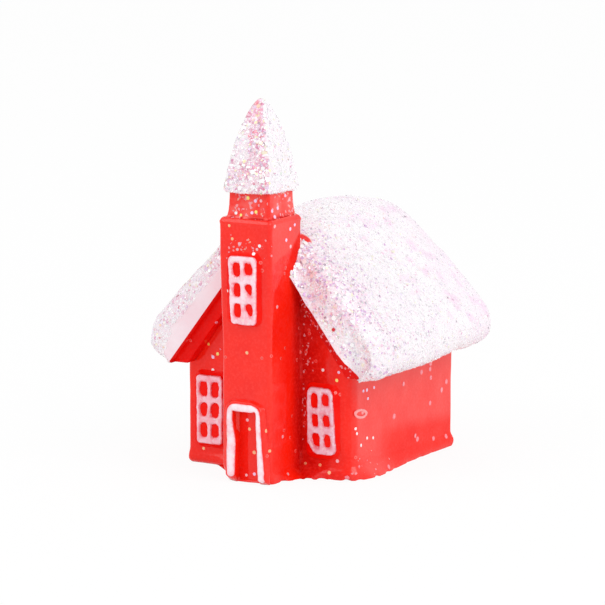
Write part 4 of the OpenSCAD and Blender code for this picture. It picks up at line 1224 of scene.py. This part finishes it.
def scatter(rows, weight, count, rng):
    # random spots on a ring grid, as many for each cell as its area times its weight asks for; also tells the cells
    a, b = rows[:-1], rows[1:]
    aNext, bNext = np.roll(a, -1, 1), np.roll(b, -1, 1)
    n = np.cross(aNext - a, b - a)
    area = np.linalg.norm(n, axis=-1)
    n /= np.maximum(area[..., None], 1e-12)
    if (n * (a - rows.mean(axis=(0, 1)))).sum() < 0:
        n = -n
    odds = (area * weight[:-1]).ravel()
    cell = rng.choice(odds.size, count, p=odds / odds.sum())
    u, v = rng.uniform(0, 1, (2, count, 1))
    flat = [g.reshape(-1, 3)[cell] for g in (a, aNext, bNext, b)]
    spots = (flat[0] * (1 - u) + flat[1] * u) * (1 - v) + (flat[3] * (1 - u) + flat[2] * u) * v
    return spots, n.reshape(-1, 3)[cell], cell


def makeFlakes(name, spots, normals, sizes, tints, tilt, rng):
    # six-sided foil plates: two hexagons and the band between them, laid on the surface with a random turn and tilt
    n = len(spots)
    normal = normals + rng.normal(0, tilt, (n, 3))
    normal /= np.linalg.norm(normal, axis=1, keepdims=True)
    helper = np.where(np.abs(normal[:, 2:]) < 0.9, [[0, 0, 1.0]], [[1.0, 0, 0]])
    across = np.cross(helper, normal)
    across /= np.linalg.norm(across, axis=1, keepdims=True)
    along = np.cross(normal, across)
    turn = rng.uniform(0, np.pi / 3, (n, 1)) + np.arange(6)[None] * np.pi / 3
    radius = sizes[:, None] / 2 * (1 + rng.uniform(-0.08, 0.08, (n, 6)))
    rim = across[:, None] * (np.cos(turn) * radius)[..., None] + along[:, None] * (np.sin(turn) * radius)[..., None]
    centre = (spots + normals * 0.01)[:, None]
    top = centre + rim * 0.96 + normal[:, None] * flake["thick"]
    low = centre + rim - normal[:, None] * flake["thick"]
    points = np.concatenate([low, top], 1).reshape(-1, 3)
    pattern = [[5, 4, 3, 2, 1, 0], [6, 7, 8, 9, 10, 11]]
    pattern += [[k, (k + 1) % 6, 6 + (k + 1) % 6, 6 + k] for k in range(6)]
    faces = [[12 * i + c for c in f] for i in range(n) for f in pattern]
    colour = np.repeat(np.concatenate([tints, np.ones((n, 1))], 1), 12, axis=0)
    piece = addMesh(name, points, faces, {"tint": colour})
    piece.data.polygons.foreach_set("use_smooth", np.zeros(len(piece.data.polygons), bool))
    return piece


def strewFlakes(name, rows, weight, rosyAndShade, deepTints, count, size, tilt, rng):
    # the rosier the spot, the likelier its flake comes from the deeper palette, and the larger it is; since rosy is
    # partly painted light, the flakes are pinker and larger on faces turned to the front than where the light falls
    # full
    spots, normals, cell = scatter(rows, weight, count, rng)
    pink = rng.uniform(0, 1, count) < rosyAndShade[:-1].ravel()[cell] * 1.3
    tints = np.where(pink[:, None], pickTints(rng, count, deepTints), pickTints(rng, count, brightTints))
    sizes = np.clip(rng.lognormal(np.log(size), 0.36, count) * np.where(pink, 1.35, 1.0), *flake["sizeRange"])
    dress(makeFlakes(name, spots, normals, sizes, tints, tilt, rng), flakeFilm, "snow")


rng = np.random.default_rng(flake["seed"])
sparkle = (1 - snowPlain) * (snowShare > 0.02) * (1 - 0.7 * smooth(snowRows[..., 1], -5, 8))
strewFlakes("glitterLeft", snowRows, sparkle * (snowRows[..., 0] < 0), 0.45 * snowRosyAndShade, rosyTints,
            flake["roofCount"], 1.1 * flake["roofSize"], flake["leftTilt"], rng)
strewFlakes("glitterRight", snowRows, sparkle * (snowRows[..., 0] >= 0), snowRosyAndShade, duskTints,
            flake["roofCount"], flake["roofSize"], flake["rightTilt"], rng)
strewFlakes("glitterSpire", spireRows, spireCover, spireRosyAndShade, rosyTints,
            flake["spireCount"], flake["spireSize"], flake["spireTilt"], rng)

# Flakes and chips seen one by one on the red parts and at the snow's edges, each group in pixels of the photograph
marks = dict(
    splash=[(333.7, 329.6)],
    chunk=[(301.8, 246.7), (305.5, 243.4), (299.6, 251), (297.8, 265.3), (299.9, 267.6), (291, 272.5), (304.5, 262),
           (359.9, 338.2), (356.4, 340.8), (365.7, 335.9), (352, 345), (312, 276), (322, 297), (334, 318),
           (240, 188), (253, 187.5), (263, 168.5), (262.5, 181), (252.5, 172)],
    yellow=[(248, 198), (241, 215), (256, 212), (208.6, 344.2), (217.7, 353.9), (336.8, 380.4)],
    orange=[(229.2, 225.5), (232.3, 238.8), (247, 352.8), (203.7, 448.2), (249.6, 429), (266.3, 430.8),
            (254.3, 452.4), (269.7, 451), (305.5, 463.3), (320, 465), (329.3, 472.7)],
    white=[(236, 213), (227.8, 290.8), (213, 370), (205.4, 377.8), (215, 401.3), (355.6, 428.7), (356.9, 433.6),
           (367, 438), (373, 437.8), (361, 445.4), (253.7, 253.9), (323, 370), (259.5, 246)],
    lilac=[(255.5, 201), (252, 212.7), (272, 211), (274.7, 217), (277.5, 208), (285, 195.5), (290.2, 229),
           (294.6, 224.8), (286.2, 240), (216.5, 322.5), (213, 357), (338.8, 372.4), (363.3, 391), (366.8, 390),
           (374, 387.4), (367.8, 398.6), (254.5, 474)],
    pink=[(261, 201), (289, 199.7), (239.5, 243.9), (237.5, 249.4), (257, 249.4), (274.7, 226.4), (290.5, 246.4),
          (277, 307), (282.6, 436.7), (337.5, 461), (247.5, 420), (246.5, 475), (288, 474)],
    soft=[(421.4, 372), (430.5, 363.4), (430, 369), (430.7, 377.6), (446.3, 381.6), (441.5, 389.8), (430, 403),
          (394, 416.3), (415.2, 435.7), (417.3, 439), (433.3, 438.3), (446, 436.4), (388.7, 466.8), (403.5, 384),
          (347.2, 477.5)],
    ghost=[(260.8, 262.7), (262.2, 270.6), (285.6, 268), (284.6, 273.4), (335.4, 392.7), (340.2, 394.4), (292, 416),
           (305, 422.8), (187.5, 340.5), (190.5, 340.5), (225.5, 357), (262, 358), (271.3, 356), (281, 358.6),
           (285, 348), (284, 430.5), (290, 437.5), (295.5, 451), (267, 456), (355.5, 457.5), (305.8, 423),
           (309, 330), (306, 352), (313, 323), (309.5, 333.5), (299, 328), (297, 360), (300, 352), (316, 361)])
markTints = dict(splash=(0.66, 0.0, 0.02), chunk=(0.96, 0.95, 0.95), yellow=(0.95, 0.80, 0.20),
                 orange=(0.93, 0.50, 0.26), white=(0.93, 0.90, 0.91), lilac=(0.90, 0.60, 0.84),
                 pink=(0.94, 0.46, 0.50), soft=(0.98, 0.22, 0.27), ghost=(0.95, 0.17, 0.15))
markShares = dict(soft=1.55, chunk=1.4, splash=1.2)  # sizes beside the other marks
markLifts = dict(chunk=0.05, splash=0.05)  # so that these stand clear of the rough snow and belfry
ghostFilm = dict(tint=(0.93, 0.03, 0.02), share=0.62, lift=0.02)  # the red film over a mark that is glazed in
dropTint = (0.97, 0.28, 0.28, 1.0)
# The drop's pixel in the photograph, half width, half height and the bead's radius
dropRings = dict(driedDrop=(360.8, 413.8, 1.12, 0.39, 0.15), driedSpot=(362.6, 413.0, 0.12, 0.1, 0.07))


def pieceTree(piece):
    points = [v.co / mm for v in piece.data.vertices]
    return BVHTree.FromPolygons(points, [tuple(p.vertices) for p in piece.data.polygons])


bodyTrees = [pieceTree(p) for p in (wallPiece, deckPiece, towerPiece, belfryPiece, doorBlockPiece, leafPiece,
                                    snowPiece, spirePiece, *blockPieces)]


def hitAt(px, py):
    # nearest point and normal of the body that the photograph's ray through a pixel meets
    eye, way = photoRay(px, py)
    best = None
    for tree in bodyTrees:
        spot, normal, _, far = tree.ray_cast(Vector(eye), Vector(way))
        if spot is not None and (best is None or far < best[2]):
            best = (np.array(spot), np.array(normal) * (1 if normal.dot(Vector(way)) < 0 else -1), far)
    return best[:2]


def wallFlakes():
    # every mark gets a flake; a ghost is glazed over, so a smaller red one lies on it and leaves a pale ring
    rng = np.random.default_rng(flake["seed"] + 1)
    spots, normals, tints, sizes = [], [], [], []
    for kind, places in marks.items():
        for px, py in places:
            spot, normal = hitAt(px, py)
            size = rng.uniform(*flake["wallSize"]) * markShares.get(kind, 1)
            layers = [(markTints[kind], size, markLifts.get(kind, 0.0))]
            if kind == "ghost":
                layers.append((ghostFilm["tint"], size * ghostFilm["share"], ghostFilm["lift"]))
            for tint, wide, lift in layers:
                spots.append(spot + normal * lift)
                normals.append(normal)
                tints.append(tint)
                sizes.append(wide)
    piece = makeFlakes("wallFlakes", np.array(spots), np.array(normals), np.array(sizes), np.array(tints),
                       flake["wallTilt"], rng)
    dress(piece, flakeFilm, "snow")


def makeDropRing(name, px, py, halfWide, halfHigh, bead):
    # a dried drop: a flat bead carried along an ellipse on the side wall, a little paler than the soft marks
    spot = hitAt(px, py)[0]
    turn = np.linspace(0, 2 * np.pi, 48, endpoint=False)[:, None]
    tube = np.linspace(0, 2 * np.pi, 10, endpoint=False)[None, :]
    along = (halfWide + 1.9 * bead * np.cos(tube) * (1 + 0.25 * np.sin(turn * 3))) * np.cos(turn)
    z = spot[2] + (halfHigh + bead * np.cos(tube)) * np.sin(turn) - 0.145 * along
    points = np.stack([spot[0] + 0.4 * bead * np.sin(tube) + 0 * turn, spot[1] + along, z], -1)
    n, m = points.shape[:2]
    faces = [[i * m + j, i * m + (j + 1) % m, (i + 1) % n * m + (j + 1) % m, (i + 1) % n * m + j]
             for i in range(n) for j in range(m)]
    points = points.reshape(-1, 3)
    tint = np.tile(dropTint, (len(points), 1))
    return addMesh(name, points, turnOutwards(points, faces), {"tint": tint})


def strayFlakes():
    # a few flakes on the left and back walls, which the photograph does not show
    rng = np.random.default_rng(flake["seed"] + 2)
    count = flake["strayCount"]
    z, along = rng.uniform(1.8, 10.4, count), rng.uniform(-0.95, 0.95, count)
    tree = pieceTree(wallPiece)
    spots, normals = [], []
    for k in range(count):
        if k % 2:
            start, way = Vector((-30, along[k] * 10.5, z[k])), Vector((1, 0, 0))
        else:
            start, way = Vector((along[k] * 9.5, 30, z[k])), Vector((0, -1, 0))
        spot, normal = tree.ray_cast(start, way)[:2]
        spots.append(spot)
        normals.append(normal * (1 if normal.dot(way) < 0 else -1))
    tints = pickTints(rng, count, [(markTints["soft"], 5), (markTints["pink"], 4), (markTints["lilac"], 3),
                                   (markTints["orange"], 1), (markTints["ghost"], 5)])
    sizes = rng.uniform(*flake["straySize"], count)
    piece = makeFlakes("strayFlakes", np.array(spots), np.array(normals), sizes, tints, flake["wallTilt"], rng)
    dress(piece, flakeFilm, "snow")


wallFlakes()
strayFlakes()
for name, place in dropRings.items():
    dress(makeDropRing(name, *place), flakeFilm, "snow")
print("flakes: done")

# Floor, light and camera

studio = dict(floorSide=3.0, floorWhite=0.92, shadowShare=0.08, fill=0.85, glossFront=0.86, glossBack=1.22,
              sweepReach=0.12, lampSize=0.35, lampAim=(0, 0, 0.018), clip=(0.01, 10))
lamps = dict(keyLamp=(75, 38, 0.6, 1.08), sideLamp=(-35, 35, 0.7, 0.66))  # azimuth, elevation, distance and power


def makeFloor():
    # A pale sheet. The camera sees it mostly as white paper with the object's soft shadow; mirrored in the glaze it is
    # a little brighter towards the back, like a lit sweep.
    side = studio["floorSide"] / 2
    mesh = bpy.data.meshes.new("floor")
    mesh.from_pydata([(-side, -side, 0), (side, -side, 0), (side, side, 0), (-side, side, 0)], [], [(0, 1, 2, 3)])
    floor = bpy.data.objects.new("floor", mesh)
    bpy.context.scene.collection.objects.link(floor)
    material = bpy.data.materials.new("paper")
    material.use_nodes = True
    tree = material.node_tree
    tree.nodes.remove(tree.nodes["Principled BSDF"])
    place = addNode(tree, "ShaderNodeTexCoord").outputs["Object"]
    depth = addNode(tree, "ShaderNodeSeparateXYZ", {"Vector": place}).outputs["Y"]
    seen = addNode(tree, "ShaderNodeLightPath").outputs
    mirrored = math(tree, "MAXIMUM", seen["Is Glossy Ray"], seen["Is Transmission Ray"])
    sweep = ramp(tree, depth, -studio["sweepReach"], studio["sweepReach"], studio["glossFront"], studio["glossBack"])
    strength = math(tree, "ADD", times(tree, mirrored, sweep), seen["Is Camera Ray"])
    matte = addNode(tree, "ShaderNodeBsdfDiffuse", {"Color": (studio["floorWhite"],) * 3 + (1,)})
    glow = addNode(tree, "ShaderNodeEmission", {"Color": (1, 1, 1, 1), "Strength": strength})
    share = math(tree, "MAXIMUM", times(tree, seen["Is Camera Ray"], 1 - studio["shadowShare"]), mirrored)
    mix = addNode(tree, "ShaderNodeMixShader", {0: share, 1: matte.outputs[0], 2: glow.outputs[0]})
    tree.links.new(mix.outputs[0], tree.nodes["Material Output"].inputs["Surface"])
    floor.data.materials.append(material)


def makeWorld():
    # white where the camera or the glaze looks, and a little dimmer as light
    world = bpy.data.worlds.new("studio")
    world.use_nodes = True
    bpy.context.scene.world = world
    tree = world.node_tree
    seen = addNode(tree, "ShaderNodeLightPath").outputs
    white = math(tree, "MAXIMUM", seen["Is Camera Ray"],
                 math(tree, "MAXIMUM", seen["Is Glossy Ray"], seen["Is Transmission Ray"]))
    strength = ramp(tree, white, 0.0, 1.0, studio["fill"], 1.0)
    tree.links.new(strength, tree.nodes["Background"].inputs["Strength"])
    tree.nodes["Background"].inputs["Color"].default_value = (1, 1, 1, 1)


def makeLamp(name, azimuth, elevation, distance, power):
    # a soft square lamp that looks at the middle of the house
    a, e = np.radians([azimuth, elevation])
    way = Vector((np.sin(a) * np.cos(e), -np.cos(a) * np.cos(e), np.sin(e)))
    light = bpy.data.lights.new(name, "AREA")
    light.size = studio["lampSize"]
    light.energy = power
    lamp = bpy.data.objects.new(name, light)
    lamp.location = Vector(studio["lampAim"]) + way * distance
    lamp.rotation_mode = "QUATERNION"
    lamp.rotation_quaternion = way.to_track_quat("Z", "Y")
    bpy.context.scene.collection.objects.link(lamp)


def makeCamera():
    right, up, back = cameraAxes()
    camera = bpy.data.objects.new("camera", bpy.data.cameras.new("camera"))
    camera.data.sensor_width = photo["sensor"]
    camera.data.lens = photo["focal"] * photo["sensor"] / photo["side"]
    turn = Matrix((right, up, back)).transposed().to_4x4()
    turn.translation = (np.array(photo["target"]) + back * photo["distance"]) * mm
    camera.matrix_world = turn
    camera.data.clip_start, camera.data.clip_end = studio["clip"]
    bpy.context.scene.collection.objects.link(camera)
    bpy.context.scene.camera = camera


makeFloor()
makeWorld()
for name, place in lamps.items():
    makeLamp(name, *place)
makeCamera()
bpy.context.scene.view_settings.view_transform = "Standard"
print("studio: done")
